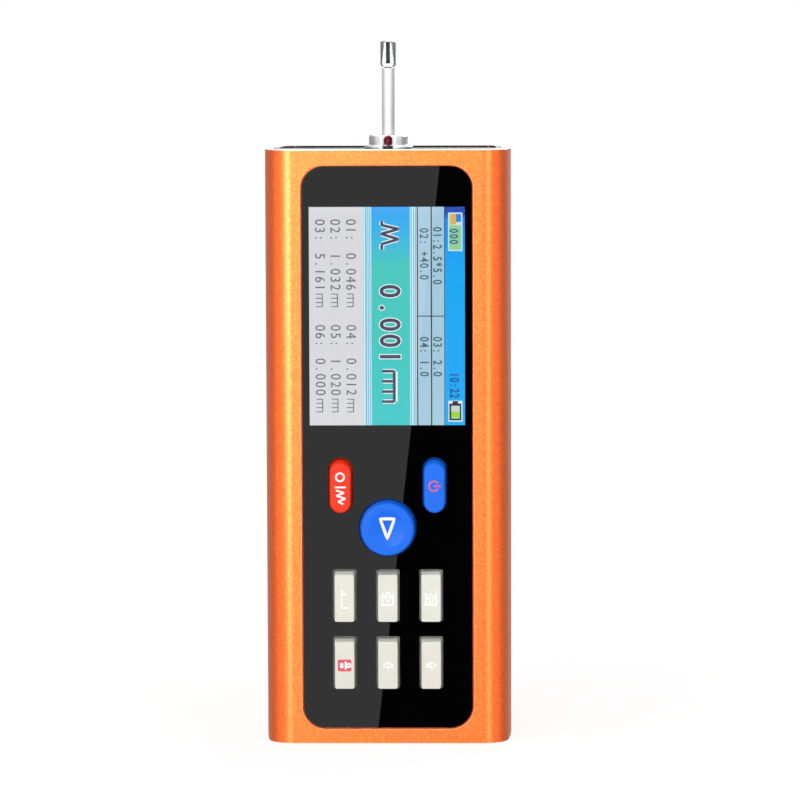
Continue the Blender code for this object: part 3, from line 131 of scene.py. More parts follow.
class TesterSizes(bpy.types.PropertyGroup):
    """Sizes that a user would change."""

    end_chamfer: bpy.props.FloatProperty(
        name="End chamfer",
        description="Width of the bright cut along both ends of the tube",
        default=0.15 * MM, min=0.0, unit="LENGTH",
    )
    pocket_chamfer: bpy.props.FloatProperty(
        name="Pocket chamfer",
        description="Width of the bright edge round the front panel's pocket",
        default=0.2 * MM, min=0.0, unit="LENGTH",
    )
    cap_edge: bpy.props.FloatProperty(
        name="Cap edge",
        description="Radius along the front edge of the caps",
        default=0.5 * MM, min=0.0, unit="LENGTH",
    )
    mark_rise: bpy.props.FloatProperty(
        name="Mark rise",
        description="How far the printed marks stand on the caps",
        default=0.03 * MM, min=0.0, unit="LENGTH",
    )
    grain: bpy.props.FloatProperty(
        name="Blasted grain",
        description="Size of the grain that blasting leaves on the tube",
        default=0.3 * MM, min=0.01 * MM, unit="LENGTH",
    )


class TesterColours(bpy.types.PropertyGroup):
    """Colours that a user would change."""

    anodised: bpy.props.FloatVectorProperty(
        name="Anodised tube", description="Colour of the tube's dyed skin",
        default=(1.0, 0.128, 0.003), min=0.0, max=1.0, size=3, subtype="COLOR",
    )
    cut_metal: bpy.props.FloatVectorProperty(
        name="Cut edges", description="Colour of the tube's freshly cut edges",
        default=(0.98, 0.82, 0.76), min=0.0, max=1.0, size=3, subtype="COLOR",
    )
    blue_cap: bpy.props.FloatVectorProperty(
        name="Blue caps", description="Colour of the start and power caps",
        default=(0.002, 0.145, 0.82), min=0.0, max=1.0, size=3, subtype="COLOR",
    )
    red_cap: bpy.props.FloatVectorProperty(
        name="Red cap", description="Colour of the mode cap",
        default=(0.90, 0.032, 0.003), min=0.0, max=1.0, size=3, subtype="COLOR",
    )
    cream_cap: bpy.props.FloatVectorProperty(
        name="Cream keys", description="Colour of the six keys",
        default=(0.74, 0.74, 0.65), min=0.0, max=1.0, size=3, subtype="COLOR",
    )
    lens: bpy.props.FloatVectorProperty(
        name="Lamp lens", description="Colour of the lamp beside the pickup",
        default=(0.24, 0.002, 0.012), min=0.0, max=1.0, size=3, subtype="COLOR",
    )


# Modelling helpers: each works on one piece, with everything else deselected first.

def deselect():
    """Leave edit mode and select nothing."""
    if bpy.context.mode != "OBJECT":
        bpy.ops.object.mode_set(mode="OBJECT")
    bpy.ops.object.select_all(action="DESELECT")


def activate(obj):
    """Select one piece alone and make it the active one."""
    deselect()
    obj.select_set(True)
    bpy.context.view_layer.objects.active = obj


def settle(name):
    """Name the new piece and put its place in its mesh."""
    bpy.ops.object.transform_apply(location=True, rotation=True, scale=True)
    obj = bpy.context.active_object
    obj.name = obj.data.name = name
    return obj


def block(name, low, high):
    """A box between two corners."""
    deselect()
    middle = [(a + b) / 2 for a, b in zip(low, high)]
    bpy.ops.mesh.primitive_cube_add(size=1, location=middle)
    bpy.context.active_object.scale = [b - a for a, b in zip(low, high)]
    return settle(name)


def drum(name, low, high, radius, sides, axis="Z"):
    """A round bar from one end's middle to the other's."""
    deselect()
    low, high = Vector(low), Vector(high)
    turn = {"X": (0, math.pi / 2, 0), "Y": (math.pi / 2, 0, 0), "Z": (0, 0, 0)}[axis]
    bpy.ops.mesh.primitive_cylinder_add(
        vertices=sides, radius=radius, depth=(high - low).length, location=(low + high) / 2, rotation=turn
    )
    return settle(name)


def edit_all(obj):
    """Open one piece in edit mode with all of it selected."""
    activate(obj)
    bpy.ops.object.mode_set(mode="EDIT")
    bpy.ops.mesh.select_mode(type="VERT")
    bpy.ops.mesh.select_all(action="SELECT")


def pick(obj, kind, test):
    """Select what passes the test in edit mode, and nothing else."""
    if obj.mode != "EDIT":
        activate(obj)
        bpy.ops.object.mode_set(mode="EDIT")
    bpy.ops.mesh.select_mode(type=kind)
    bpy.ops.mesh.select_all(action="DESELECT")
    mesh = bmesh.from_edit_mesh(obj.data)
    parts = {"VERT": mesh.verts, "EDGE": mesh.edges, "FACE": mesh.faces}[kind]
    found = [part for part in parts if test(part)]
    for part in found:
        part.select_set(True)
    mesh.select_flush_mode()
    bmesh.update_edit_mesh(obj.data)
    if not found:
        raise RuntimeError(f"{obj.name}: nothing was found to select")
    return len(found)


def along(direction):
    """A test for edges that run along a direction."""
    aim = Vector(direction)

    def runs(edge):
        span = edge.verts[1].co - edge.verts[0].co
        return span.length > 0 and abs(span.normalized().dot(aim)) > FLAT

    return runs


def round_edges(obj, test, radius, segments):
    """Round the edges that pass a test."""
    pick(obj, "EDGE", test)
    bpy.ops.mesh.bevel(offset=radius, segments=segments, profile=0.5, affect="EDGES")


def modify(obj, kind, **settings):
    """Add a modifier and apply it."""
    activate(obj)
    modifier = obj.modifiers.new(kind.title(), kind)
    for key, value in settings.items():
        setattr(modifier, key, value)
    bpy.ops.object.modifier_apply(modifier=modifier.name)
    return obj


def cut(obj, *tools):
    """Take the tools' shapes out of a piece and throw the tools away."""
    return combine(obj, "DIFFERENCE", tools)


def unite(obj, *tools):
    """Join the tools' shapes to a piece as one solid and throw the tools away."""
    return combine(obj, "UNION", tools)


def combine(obj, operation, tools):
    """Run one Boolean after the other."""
    for tool in tools:
        deselect()
        modify(obj, "BOOLEAN", object=tool, operation=operation, solver="EXACT")
        bpy.data.objects.remove(tool)
    return obj


def tidy(obj):
    """Merge doubles, dissolve flat seams and turn every face outwards."""
    edit_all(obj)
    bpy.ops.mesh.remove_doubles(threshold=0.002 * MM)
    bpy.ops.mesh.dissolve_limited(angle_limit=math.radians(0.5))
    bpy.ops.mesh.select_all(action="SELECT")
    bpy.ops.mesh.normals_make_consistent(inside=False)
    bpy.ops.object.mode_set(mode="OBJECT")
    return obj


def soften(obj, width, segments=2, angle=35):
    """A small round on every sharp edge, then smooth shading up to an angle."""
    if width > 0:
        modify(
            obj, "BEVEL", width=width, segments=segments, limit_method="ANGLE",
            angle_limit=math.radians(angle), harden_normals=False, use_clamp_overlap=True,
        )
    return shade(obj, angle)


def shade(obj, angle):
    """Smooth shading up to an angle, with the large faces kept flat."""
    activate(obj)
    bpy.ops.object.shade_smooth_by_angle(angle=math.radians(angle))
    return modify(obj, "WEIGHTED_NORMAL", keep_sharp=True, weight=100)


def rounded_block(name, low, high, radius, segments, axis):
    """A box whose four edges along one axis are round."""
    obj = block(name, low, high)
    round_edges(obj, along(axis), radius, segments)
    deselect()
    return obj


def display_corners():
    """The lit display's lowest and highest corners, a little past the window's."""
    rim = Vector((FIT, 0, FIT))
    return WINDOW_LOW - rim, WINDOW_HIGH + rim


def middle_of(node):
    """The middle of a CAD node's box."""
    low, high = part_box(node)
    return (low + high) / 2


def cap_middle(node):
    """The middle of a cap, across and up."""
    middle = middle_of(node)
    return middle.x, middle.z


def place(obj, body, slot, finish, *nodes):
    """Give a finished piece its material and its body, and hide the nodes that it stands for. The slot is not used.
    """
    deselect()
    if finish is not None:
        obj.data.materials.clear()
        obj.data.materials.append(finish)
    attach(obj, body)
    if nodes:
        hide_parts(*nodes)
    return obj


def paint_faces(obj, finish, test):
    """Give the faces that pass a test a second material."""
    obj.data.materials.append(finish)
    number = len(obj.data.materials) - 1
    for polygon in obj.data.polygons:
        if test(polygon):
            polygon.material_index = number


def merged_copy(name, node):
    """A copy of a CAD node's mesh, merged into one closed surface."""
    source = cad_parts[node]
    obj = bpy.data.objects.new(name, source.data.copy())
    bpy.context.scene.collection.objects.link(obj)
    obj.data.name = name
    return tidy(obj)


# Shading helpers.

class Wire:
    """A socket of a material's nodes. An expression on wires adds Math nodes."""

    def __init__(self, finish, socket):
        self.finish = finish
        self.socket = socket

    def math(self, operation, *others):
        """One Math node, with this wire first."""
        return self.finish.node("Math", {"operation": operation}, dict(enumerate((self, *others))))

    def __add__(self, other):
        return self.math("ADD", other)

    __radd__ = __add__

    def __sub__(self, other):
        return self.math("SUBTRACT", other)

    def __rsub__(self, other):
        return self.finish.node("Math", {"operation": "SUBTRACT"}, {0: other, 1: self})

    def __mul__(self, other):
        return self.math("MULTIPLY", other)

    __rmul__ = __mul__

    def __truediv__(self, other):
        return self.math("DIVIDE", other)

    def __gt__(self, other):
        return self.math("GREATER_THAN", other)

    def __lt__(self, other):
        return self.math("LESS_THAN", other)

    def __abs__(self):
        return self.math("ABSOLUTE")


class Finish:
    """A material, or the world, and the one way to make its nodes."""

    def __init__(self, name, kind="materials"):
        self.material = getattr(bpy.data, kind).new(name)
        self.material.use_nodes = True
        self.tree = self.material.node_tree
        self.tree.nodes.clear()

    def node(self, kind, settings=None, inputs=None, output=0):
        """Make a node: its settings first, then the values or links of its sockets."""
        node = self.tree.nodes.new("ShaderNode" + kind)
        for key, value in (settings or {}).items():
            if key == "stops":
                elements = node.color_ramp.elements
                while len(elements) < len(value):
                    elements.new(1.0)
                for element, (position, colour) in zip(elements, value):
                    element.position = position
                    element.color = (*colour, 1.0)
            elif key == "interpolation":
                node.color_ramp.interpolation = value
            else:
                setattr(node, key, value)
        for key, value in (inputs or {}).items():
            socket = node.inputs[key]
            if isinstance(value, Wire):
                self.tree.links.new(value.socket, socket)
            elif socket.type == "RGBA" and len(value) == 3:
                socket.default_value = (*value, 1.0)
            else:
                socket.default_value = value
        return Wire(self, node.outputs[output])

    def axes(self):
        """The place on the piece, as a vector and as its three numbers."""
        point = self.node("TexCoord", output="Object")
        return (point, *(self.node("SeparateXYZ", inputs={0: point}, output=i) for i in range(3)))

    def noise(self, point, size, detail=2.0, roughness=0.5):
        """Cloudy values from 0 to 1, with cells about one size wide."""
        return self.node(
            "TexNoise", {}, {"Vector": point, "Scale": 1.0 / size, "Detail": detail, "Roughness": roughness}
        )

    def stretched(self, point, scale):
        """The place with its axes scaled, for a pattern with a grain."""
        return self.node("Mapping", {}, {"Vector": point, "Scale": scale})

    def blend(self, factor, first, second):
        """A colour between two, by a factor from 0 to 1."""
        return self.node("Mix", {"data_type": "RGBA"}, {0: factor, 6: first, 7: second}, 2)

    def ramp(self, factor, stops, interpolation="LINEAR"):
        """A colour read from stops, by a factor from 0 to 1."""
        return self.node("ValToRGB", {"stops": stops, "interpolation": interpolation}, {0: factor})

    def bump(self, height, distance, strength=1.0):
        """A normal that follows a height."""
        return self.node("Bump", {}, {"Height": height, "Distance": distance, "Strength": strength})

    def surface(self, **inputs):
        """Finish with one Principled shader, whose inputs are named with underscores for spaces."""
        named = {key.replace("_", " "): value for key, value in inputs.items()}
        return self.output(self.node("BsdfPrincipled", {}, named))

    def output(self, shader, kind="OutputMaterial"):
        """Lead a shader to the output."""
        end = self.tree.nodes.new("ShaderNode" + kind)
        self.tree.links.new(shader.socket, end.inputs[0])
        return self.material


def shaded(colour, share):
    """A colour made lighter or darker by a share, worked out in Python."""
    return tuple(min(1.0, max(0.0, part * share)) for part in colour[:3])


def anodised_finish(colour, grain):
    """Blasted and dyed aluminium: fine sparkle, slight clouds and a rough satin gloss."""
    finish = Finish("anodised_tube")
    point, *_ = finish.axes()
    sparkle = finish.noise(point, grain, 1.0)
    clouds = finish.noise(point, 14 * MM, 3.0)
    fine = finish.noise(point, grain * 0.45, 1.0)
    tone = finish.ramp(
        sparkle, [(0.30, shaded(colour, 0.80)), (0.5, colour), (0.74, (1.0, 0.25, 0.03))]
    )
    tinted = finish.blend(clouds * 0.22, tone, shaded(colour, 0.88))
    return finish.surface(
        Base_Color=tinted, Metallic=0.82, Roughness=0.33 + clouds * 0.04 + sparkle * 0.08,
        Coat_Weight=0.62, Coat_Roughness=0.34,
        Normal=finish.bump(fine + sparkle * 0.5, 0.012 * MM, 0.55),
    )


def metal_finish(name, colour, roughness, stretch, grain, depth, metallic=1.0, gloss=0.5):
    """Metal with fine tool marks that run along the grain's longest axis. Its grain and depth are in mm."""
    finish = Finish(name)
    point, *_ = finish.axes()
    marks = finish.noise(finish.stretched(point, stretch), grain * MM, 3.0, 0.6)
    smears = finish.noise(point, 6 * MM, 2.0)
    tone = finish.blend(marks * 0.35, colour, shaded(colour, 0.82))
    return finish.surface(
        Base_Color=tone, Metallic=metallic, Roughness=roughness + marks * 0.06 + smears * 0.05,
        Specular_IOR_Level=gloss, Normal=finish.bump(marks, depth * MM, 0.5),
    )


def plastic_finish(name, colour, roughness, grain=0.12 * MM, bump=0.006 * MM, gloss=0.3):
    """Moulded plastic: an even satin skin with a fine texture and slightly dull patches."""
    finish = Finish(name)
    point, *_ = finish.axes()
    skin = finish.noise(point, grain, 2.0)
    patches = finish.noise(point, 5 * MM, 3.0)
    tone = finish.blend(patches * 0.4, colour, shaded(colour, 0.90))
    return finish.surface(
        Base_Color=tone, Roughness=roughness + patches * 0.10, Specular_IOR_Level=gloss,
        Normal=finish.bump(skin, bump, 0.4),
    )


def acrylic_finish(name, shades, clear):
    """The panel's acrylic, flat and mirror smooth with the faintest haze: printed black from behind, or clear."""
    finish = Finish(name)
    point, *_ = finish.axes()
    haze = finish.noise(point, 9 * MM, 2.0)
    return finish.surface(
        Base_Color=finish.blend(haze, *shades) if len(shades) > 1 else shades[0],
        Roughness=haze * 0.005, IOR=1.45, Transmission_Weight=clear,
    )


# The display's fields, as shares of its width where each begins, from the left to the right.
INK = (0.012, 0.02, 0.06)
WHITE = (0.86, 0.97, 1.0)
STRIPE = (0.13, 0.56, 0.80)
PALE = (0.42, 0.66, 0.80)
LEFT_FIELDS = [
    (0.0, (0.745, 0.745, 0.775)), (0.3424, (0.86, 0.85, 0.84)), (0.3455, STRIPE), (0.3512, WHITE), (0.3556, STRIPE),
    (0.3692, WHITE), (0.3736, STRIPE), (0.3814, WHITE), (0.3858, STRIPE), (0.3930, WHITE), (0.3972, STRIPE),
]
RIGHT_FIELDS = [
    (0.3972, STRIPE), (0.6472, WHITE), (0.6520, STRIPE), (0.6600, WHITE), (0.6650, STRIPE), (0.6730, WHITE),
    (0.6775, STRIPE), (0.6840, (0.93, 0.90, 0.78)), (0.6900, INK), (0.6985, PALE), (0.7790, INK), (0.7870, PALE),
    (0.8640, INK), (0.8715, (0.0, 0.43, 1.0)),
]
READING_BAND = (0.4030, 0.6480)
HEADER_EDGE = 0.8715
RULE_EDGE = 0.69

# Colours down the reading's band and down the header.
READING_TINTS = [
    (0.0, (0.0, 0.38, 1.0)), (0.12, (0.005, 0.48, 0.86)), (0.27, (0.03, 0.61, 0.54)), (0.62, (0.02, 0.61, 0.55)),
    (1.0, (0.015, 0.61, 0.62)),
]
HEADER_TINTS = [
    (0.0, (0.0, 0.05, 0.42)), (0.03, (0.0, 0.07, 0.55)), (0.06, (0.0, 0.30, 0.97)), (0.3, (0.0, 0.43, 1.0)),
]


def lit(finish, picture, strength):
    """Finish with a lit surface, dark where it doesn't shine."""
    return finish.surface(
        Base_Color=(0.004, 0.004, 0.005), Roughness=0.4, Specular_IOR_Level=0.0,
        Emission_Color=picture, Emission_Strength=strength,
    )


def display_finish(low, high):
    """The lit display: fields of colour by place, with a fine grid of dots."""
    finish = Finish("lit_display")
    point, x, _, z = finish.axes()
    across = (x - low.x) / (high.x - low.x)
    down = (high.z - z) / (high.z - low.z)
    fields = [finish.ramp(across, stops, "CONSTANT") for stops in (LEFT_FIELDS, RIGHT_FIELDS)]
    picture = finish.blend(across > 0.5, *fields)
    in_band = (across > READING_BAND[0]) * (across < READING_BAND[1])
    picture = finish.blend(in_band, picture, finish.ramp(down, READING_TINTS))
    picture = finish.blend(across > HEADER_EDGE, picture, finish.ramp(down, HEADER_TINTS))
    rule = (abs(down - 0.5) < 0.0022) * (across > RULE_EDGE) * (across < HEADER_EDGE)
    picture = finish.blend(rule, picture, INK)
    dots = finish.noise(point, 0.32 * MM, 1.0)
    return lit(finish, finish.blend(dots * 0.10, picture, (0.0, 0.02, 0.06)), 0.98)


def ink_finish(name, colour):
    """A field of one display colour with the dots' slight unevenness."""
    finish = Finish(name)
    point, *_ = finish.axes()
    dots = finish.noise(point, 0.3 * MM, 1.0)
    return lit(finish, finish.blend(dots * 0.5, colour, shaded(colour, 0.86)), 1.0)


def print_finish(name, colour):
    """Pad-printed ink on a cap: nearly even, a little worn."""
    finish = Finish(name)
    point, *_ = finish.axes()
    wear = finish.noise(point, 0.2 * MM, 2.0)
    return finish.surface(
        Base_Color=finish.blend(wear * 0.3, colour, shaded(colour, 0.85)), Roughness=0.42 + wear * 0.1,
    )


def board_finish():
    """Green solder mask with faint tracks and bright pads."""
    finish = Finish("circuit_board")
    point, *_ = finish.axes()
    cells = finish.node("TexVoronoi", {"feature": "DISTANCE_TO_EDGE"}, {"Vector": point, "Scale": 1 / (2.4 * MM)})
    tracks = cells < 0.06
    pads = finish.node("TexVoronoi", {}, {"Vector": point, "Scale": 1 / (1.7 * MM)}) < 0.13
    tone = finish.blend(tracks, (0.01, 0.16, 0.06), (0.02, 0.26, 0.10))
    return finish.surface(
        Base_Color=finish.blend(pads, tone, (0.72, 0.70, 0.62)), Metallic=pads, Roughness=0.38,
        Normal=finish.bump(tracks, 0.02 * MM, 0.4),
    )


def wrap_finish():
    """The battery's shrink wrap: glossy, with a slightly wavy film."""
    finish = Finish("battery_wrap")
    point, *_ = finish.axes()
    film = finish.noise(finish.stretched(point, (1, 1, 0.25)), 3 * MM, 3.0)
    return finish.surface(
        Base_Color=finish.blend(film, (0.03, 0.10, 0.34), (0.05, 0.14, 0.45)), Roughness=0.22 + film * 0.1,
        Coat_Weight=0.6, Normal=finish.bump(film, 0.08 * MM, 0.5),
    )


def thread_finish():
    """Steel whose bump runs round it like a fine thread, with painted shade in the thread's grooves."""
    finish = Finish("threaded_steel")
    point, *_ = finish.axes()
    turns = finish.node(
        "TexWave", {"wave_type": "BANDS", "bands_direction": "Z"},
        {"Vector": point, "Scale": 1 / (3.2 * MM), "Distortion": 0.0},
    )
    # The colour follows the bump's height: painted shade in the grooves, lighter on the crests.
    return finish.surface(
        Base_Color=finish.blend(turns, (0.30, 0.30, 0.31), (0.72, 0.72, 0.74)), Metallic=1.0, Roughness=0.26,
        Normal=finish.bump(turns, 0.25 * MM, 0.8),
    )


def lens_finish(colour):
    """Dark red clear plastic, darker in some noise patches and paler pink in others, which are painted highlights.
    """
    finish = Finish("lamp_lens")
    point, *_ = finish.axes()
    depth = finish.noise(point, 0.6 * MM, 1.0)
    # The ramp's pale pink stop is a painted highlight, placed by noise.
    tone = finish.ramp(depth, [(0.40, shaded(colour, 0.25)), (0.54, colour), (0.64, (0.50, 0.03, 0.07))])
    return finish.surface(Base_Color=tone, Roughness=0.12 + depth * 0.06, Specular_IOR_Level=0.12, IOR=1.46)


def finish_of(name):
    """A finish that was made before, by its material's name."""
    return bpy.data.materials[name]


def colours():
    """The scene's own colours, as the sidebar shows them."""
    return bpy.context.scene.tester_colours


def sizes():
    """The scene's own sizes, as the sidebar shows them."""
    return bpy.context.scene.tester_sizes


# Metals and the plates that look like metal: colour, roughness, the grain's stretch along each axis, its size and
# its depth in mm, how metallic they are, and their gloss where they aren't.
METALS = {
    "milled_rim": ((1.0, 0.72, 0.42), 0.35, (1, 1, 8), 0.2, 0.002, 0.2),
    "polished_steel": ((0.78, 0.78, 0.79), 0.40, (1, 1, 10), 0.3, 0.001),
    "turned_steel": ((0.88, 0.88, 0.89), 0.24, (1, 1, 40), 1.0, 0.002),
    "screw_steel": ((0.55, 0.55, 0.57), 0.25, (1, 1, 1), 0.3, 0.002),
    "machined_aluminium": ((0.74, 0.74, 0.76), 0.30, (12, 12, 1), 0.4, 0.004),
    "black_plate": ((0.008, 0.008, 0.010), 0.10, (1, 1, 1), 0.15, 0.0005, 0.0),
    "satin_tube": ((0.70, 0.70, 0.70), 0.42, (1, 1, 10), 0.3, 0.001, 0.45),
    # The next two are a lit and a shaded copy of one steel: a painted highlight on the pickup head's front flats
    # and painted shade on the rest of the head.
    "painted_highlight_steel": ((0.90, 0.90, 0.91), 0.20, (1, 1, 1), 0.3, 0.0005),
    "painted_shade_steel": ((0.36, 0.36, 0.37), 0.28, (1, 1, 6), 0.2, 0.003),
    # Near black: the lamp seat's dark steel, and the pickup lever, which fills the head's slot as painted shade.
    "dark_steel_and_painted_shade": ((0.03, 0.03, 0.034), 0.35, (1, 1, 3), 0.5, 0.01, 0.3, 0.2),
    "turned_brass": ((0.80, 0.56, 0.22), 0.20, (1, 1, 20), 0.6, 0.002),
    "diamond": ((0.05, 0.05, 0.06), 0.08, (1, 1, 1), 0.05, 0.001, 0.0),
}

# The finish of each CAD node that keeps its shape, by its material slot, or by its own name.
SLOT_FINISHES = {
    "black_plastic": "black_moulded",
    "bright_steel": "polished_steel",
    "bare_aluminium": "machined_aluminium",
    "brass": "turned_brass",
    "green_board": "circuit_board",
    "battery_wrap": "battery_wrap",
    "black_anodised": "black_plate",
    "diamond": "diamond",
    "display_glass": "black_moulded",
}
NODE_FINISHES = {"lead_screw": "threaded_steel", "lamp_seat": "dark_steel_and_painted_shade"}


class TESTER_OT_finishes(bpy.types.Operator):
    """Make the materials and dress the inner pieces that keep their shape."""

    bl_idname = "tester.finishes"
    bl_label = "Finishes"

    def execute(self, context):
        tint = colours()
        anodised_finish(tint.anodised, sizes().grain)
        metal_finish("cut_metal", tint.cut_metal, 0.30, (1, 1, 8), 0.2, 0.002)
        for name, settings in METALS.items():
            metal_finish(name, *settings)
        acrylic_finish("panel_black_gloss", [(0.0006, 0.0006, 0.0007), (0.0012, 0.0012, 0.0014)], 0.0)
        acrylic_finish("panel_clear_window", [(1.0, 1.0, 1.0)], 1.0)
        plastic_finish("blue_cap", tint.blue_cap, 0.42, gloss=0.18)
        plastic_finish("red_cap", tint.red_cap, 0.40, gloss=0.18)
        plastic_finish("cream_cap", tint.cream_cap, 0.46)
        plastic_finish("black_moulded", (0.018, 0.018, 0.02), 0.55, 0.2 * MM, 0.02 * MM)
        board_finish()
        wrap_finish()
        thread_finish()
        lens_finish(tint.lens)
        for name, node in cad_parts.items():
            slot = node.data.materials[0].name.split(".")[0]
            chosen = NODE_FINISHES.get(name, SLOT_FINISHES.get(slot))
            if chosen:
                node.data.materials[0] = finish_of(chosen)
        return {"FINISHED"}


def tube_prism(name, inset, low_z, high_z, columns=12, segments=14):
    """The tube's section as a solid: round corners and sides that bow out a little."""
    half_x = SHELL_HIGH.x - SIDE_BOW - inset
    half_y = SHELL_HIGH.y - inset
    radius = BODY_CORNER - inset
    prism = block(name, (-half_x, -half_y, low_z), (half_x, half_y, high_z))
    round_edges(prism, along(ALONG_Z), radius, segments)
    straight = half_y - radius
    for column in range(1, columns):
        level = straight * (2 * column / columns - 1)
        pick(prism, "FACE", lambda face: abs(face.normal.x) > 0.99 or abs(face.normal.z) > 0.99)
        bpy.ops.mesh.bisect(plane_co=(0, level, 0), plane_no=(0, 1, 0))
    run = BODY_CORNER + SIDE_BOW
    corner_y = SHELL_HIGH.y - BODY_CORNER
    bow_radius = (run**2 + corner_y**2 - BODY_CORNER**2) / (2 * SIDE_BOW)
    for side in (-1, 1):
        for column in range(columns + 1):
            level = straight * (2 * column / columns - 1)
            push = math.sqrt((bow_radius - inset) ** 2 - level**2) - (bow_radius - inset) + SIDE_BOW
            pick(prism, "VERT", lambda v: abs(v.co.y - level) < NEAR and v.co.x * side > half_x - NEAR)
            bpy.ops.transform.translate(value=(side * push, 0, 0))
    deselect()
    return prism


class TESTER_OT_shell(bpy.types.Operator):
    """Model the orange tube with its pocket, channels and bright cut edges."""

    bl_idname = "tester.shell"
    bl_label = "Tube"

    def execute(self, context):
        chamfer, rim = sizes().end_chamfer, sizes().pocket_chamfer
        tube = tube_prism("housing_tube", 0.0, SHELL_LOW.z, SHELL_HIGH.z)
        pick(tube, "EDGE", lambda e: e.is_manifold and abs(sum(f.normal.z for f in e.link_faces)) > 0.9)
        bpy.ops.mesh.bevel(offset=chamfer, segments=3, profile=0.5, affect="EDGES")
        deselect()
        hollow = tube_prism("hollow", BODY_WALL, SHELL_LOW.z - MM, SHELL_HIGH.z + MM, 6, 8)
        cut(tube, hollow)
        post_low, post_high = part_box("bottom_end_plate")[1].z + FIT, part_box("top_end_plate")[0].z - FIT
        for name in END_SCREWS:
            x, y, _ = middle_of(name)
            post = drum("post", (x, y, post_low), (x, y, post_high), CHANNEL_RADIUS, 24)
            left, right = sorted((x, math.copysign(SHELL_HIGH.x - CHANNEL_WEB, x)))
            web = block("web", (left, y - CHANNEL_WEB, post_low), (right, y + CHANNEL_WEB, post_high))
            unite(tube, web, post)
            hole = drum("hole", (x, y, SHELL_LOW.z), (x, y, SHELL_HIGH.z), SHANK_HOLE_RADIUS, 16)
            cut(tube, hole)
        pocket = rounded_block(
            "pocket", (PANEL_LOW.x - FIT, SHELL_LOW.y - MM, PANEL_LOW.z - FIT),
            (PANEL_HIGH.x + FIT, LEDGE_Y, PANEL_HIGH.z + FIT), PANEL_CORNER + FIT, 14, ALONG_Y,
        )
        low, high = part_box("key_guide")
        through = FRONT_WALL_Y + MM
        keypad = block("keypad", (low.x, SHELL_LOW.y, low.z), (high.x, through, high.z))
        low_z, high_z = WINDOW_LOW.z - MM, WINDOW_HIGH.z + MM
        screen = block("screen", (-SCREEN_OPENING, SHELL_LOW.y, low_z), (SCREEN_OPENING, through, high_z))
        cut(tube, pocket, keypad, screen)
        tidy(tube)
        soften(tube, rim, 2, 40)
        place(tube, "housing", "orange_anodised", finish_of("anodised_tube"), "housing_shell")
        ends = chamfer * 0.98
        low_end, high_end = SHELL_LOW.z + ends, SHELL_HIGH.z - ends
        paint_faces(tube, finish_of("cut_metal"), lambda p: p.center.z < low_end or p.center.z > high_end)

        def on_pocket_rim(polygon):
            middle = polygon.center
            beside = abs(middle.x) < PANEL_HIGH.x + 2 * FIT + rim
            level_with = PANEL_LOW.z - MM < middle.z < PANEL_HIGH.z + MM
            in_front = SHELL_LOW.y < middle.y < SHELL_LOW.y + rim
            return beside and level_with and in_front and abs(polygon.normal.y) < 0.99

        paint_faces(tube, finish_of("milled_rim"), on_pocket_rim)
        return {"FINISHED"}


class TESTER_OT_end_plates(bpy.types.Operator):
    """Finish both end plates and their screws with small rounds."""

    bl_idname = "tester.end_plates"
    bl_label = "End plates"

    def execute(self, context):
        for node in ("top_end_plate", "bottom_end_plate"):
            plate = merged_copy(node + "_finished", node)
            if node == "top_end_plate":
                low, high = SHELL_HIGH.z - MM, SHELL_HIGH.z - 0.5 * MM
                pick(plate, "FACE", lambda f: f.normal.z > FLAT and low < f.calc_center_median().z < high)
                bpy.ops.transform.translate(value=(0, 0, RECESS_LIFT))
                deselect()
            soften(plate, EDGE_ROUND, 2, 30)
            place(plate, "housing", "black_anodised", finish_of("black_plate"), node)
        for end in ("top", "bottom"):
            for number in range(1, 5):
                node = f"{end}_screw_{number}"
                screw = merged_copy(node + "_finished", node)
                soften(screw, EDGE_ROUND, 2, 40)
                place(screw, "housing", "bright_steel", finish_of("screw_steel"), node)
        return {"FINISHED"}


class TESTER_OT_panel(bpy.types.Operator):
    """Model the glossy panel with its clear window and the openings for the caps."""

    bl_idname = "tester.panel"
    bl_label = "Front panel"

    def execute(self, context):
        panel = rounded_block("panel_glass", PANEL_LOW, PANEL_HIGH, PANEL_CORNER, 16, ALONG_Y)
        front, back = PANEL_LOW.y - MM, PANEL_HIGH.y + MM
        tools = []
        for nodes, size, corner, segments in ((KEYS, KEY_SIZE, 0.5 * MM, 4), (OBLONGS, OBLONG_SIZE, None, 14)):
            wide, tall = (side / 2 + FIT for side in size)
            for node in nodes:
                x, z = cap_middle(node)
                low, high = (x - wide, front, z - tall), (x + wide, back, z + tall)
                tools.append(rounded_block("hole", low, high, corner or wide * ROUND_END, segments, ALONG_Y))
        x, z = cap_middle("start_button")
        tools.append(drum("hole", (x, front, z), (x, back, z), START_RADIUS + FIT, 72, "Y"))
        cut(panel, *tools)
        tidy(panel)
        low, high = display_corners()
        for level, axis in ((low.x, (1, 0, 0)), (high.x, (1, 0, 0)), (low.z, ALONG_Z), (high.z, ALONG_Z)):
            pick(panel, "FACE", lambda face: abs(face.normal.y) > FLAT)
            bpy.ops.mesh.bisect(plane_co=[level * part for part in axis], plane_no=axis)
        soften(panel, 0.10 * MM, 2, 40)
        place(panel, "housing", "black_acrylic", finish_of("panel_black_gloss"), "front_panel", "display_window")

        def in_window(polygon):
            middle = polygon.center
            return abs(polygon.normal.y) > FLAT and low.x < middle.x < high.x and low.z < middle.z < high.z

        paint_faces(panel, finish_of("panel_clear_window"), in_window)
        return {"FINISHED"}


def join(name, parts):
    """Make several pieces one."""
    deselect()
    for part in parts:
        part.select_set(True)
    bpy.context.view_layer.objects.active = parts[0]
    if len(parts) > 1:
        bpy.ops.object.join()
    parts[0].name = parts[0].data.name = name
    return parts[0]


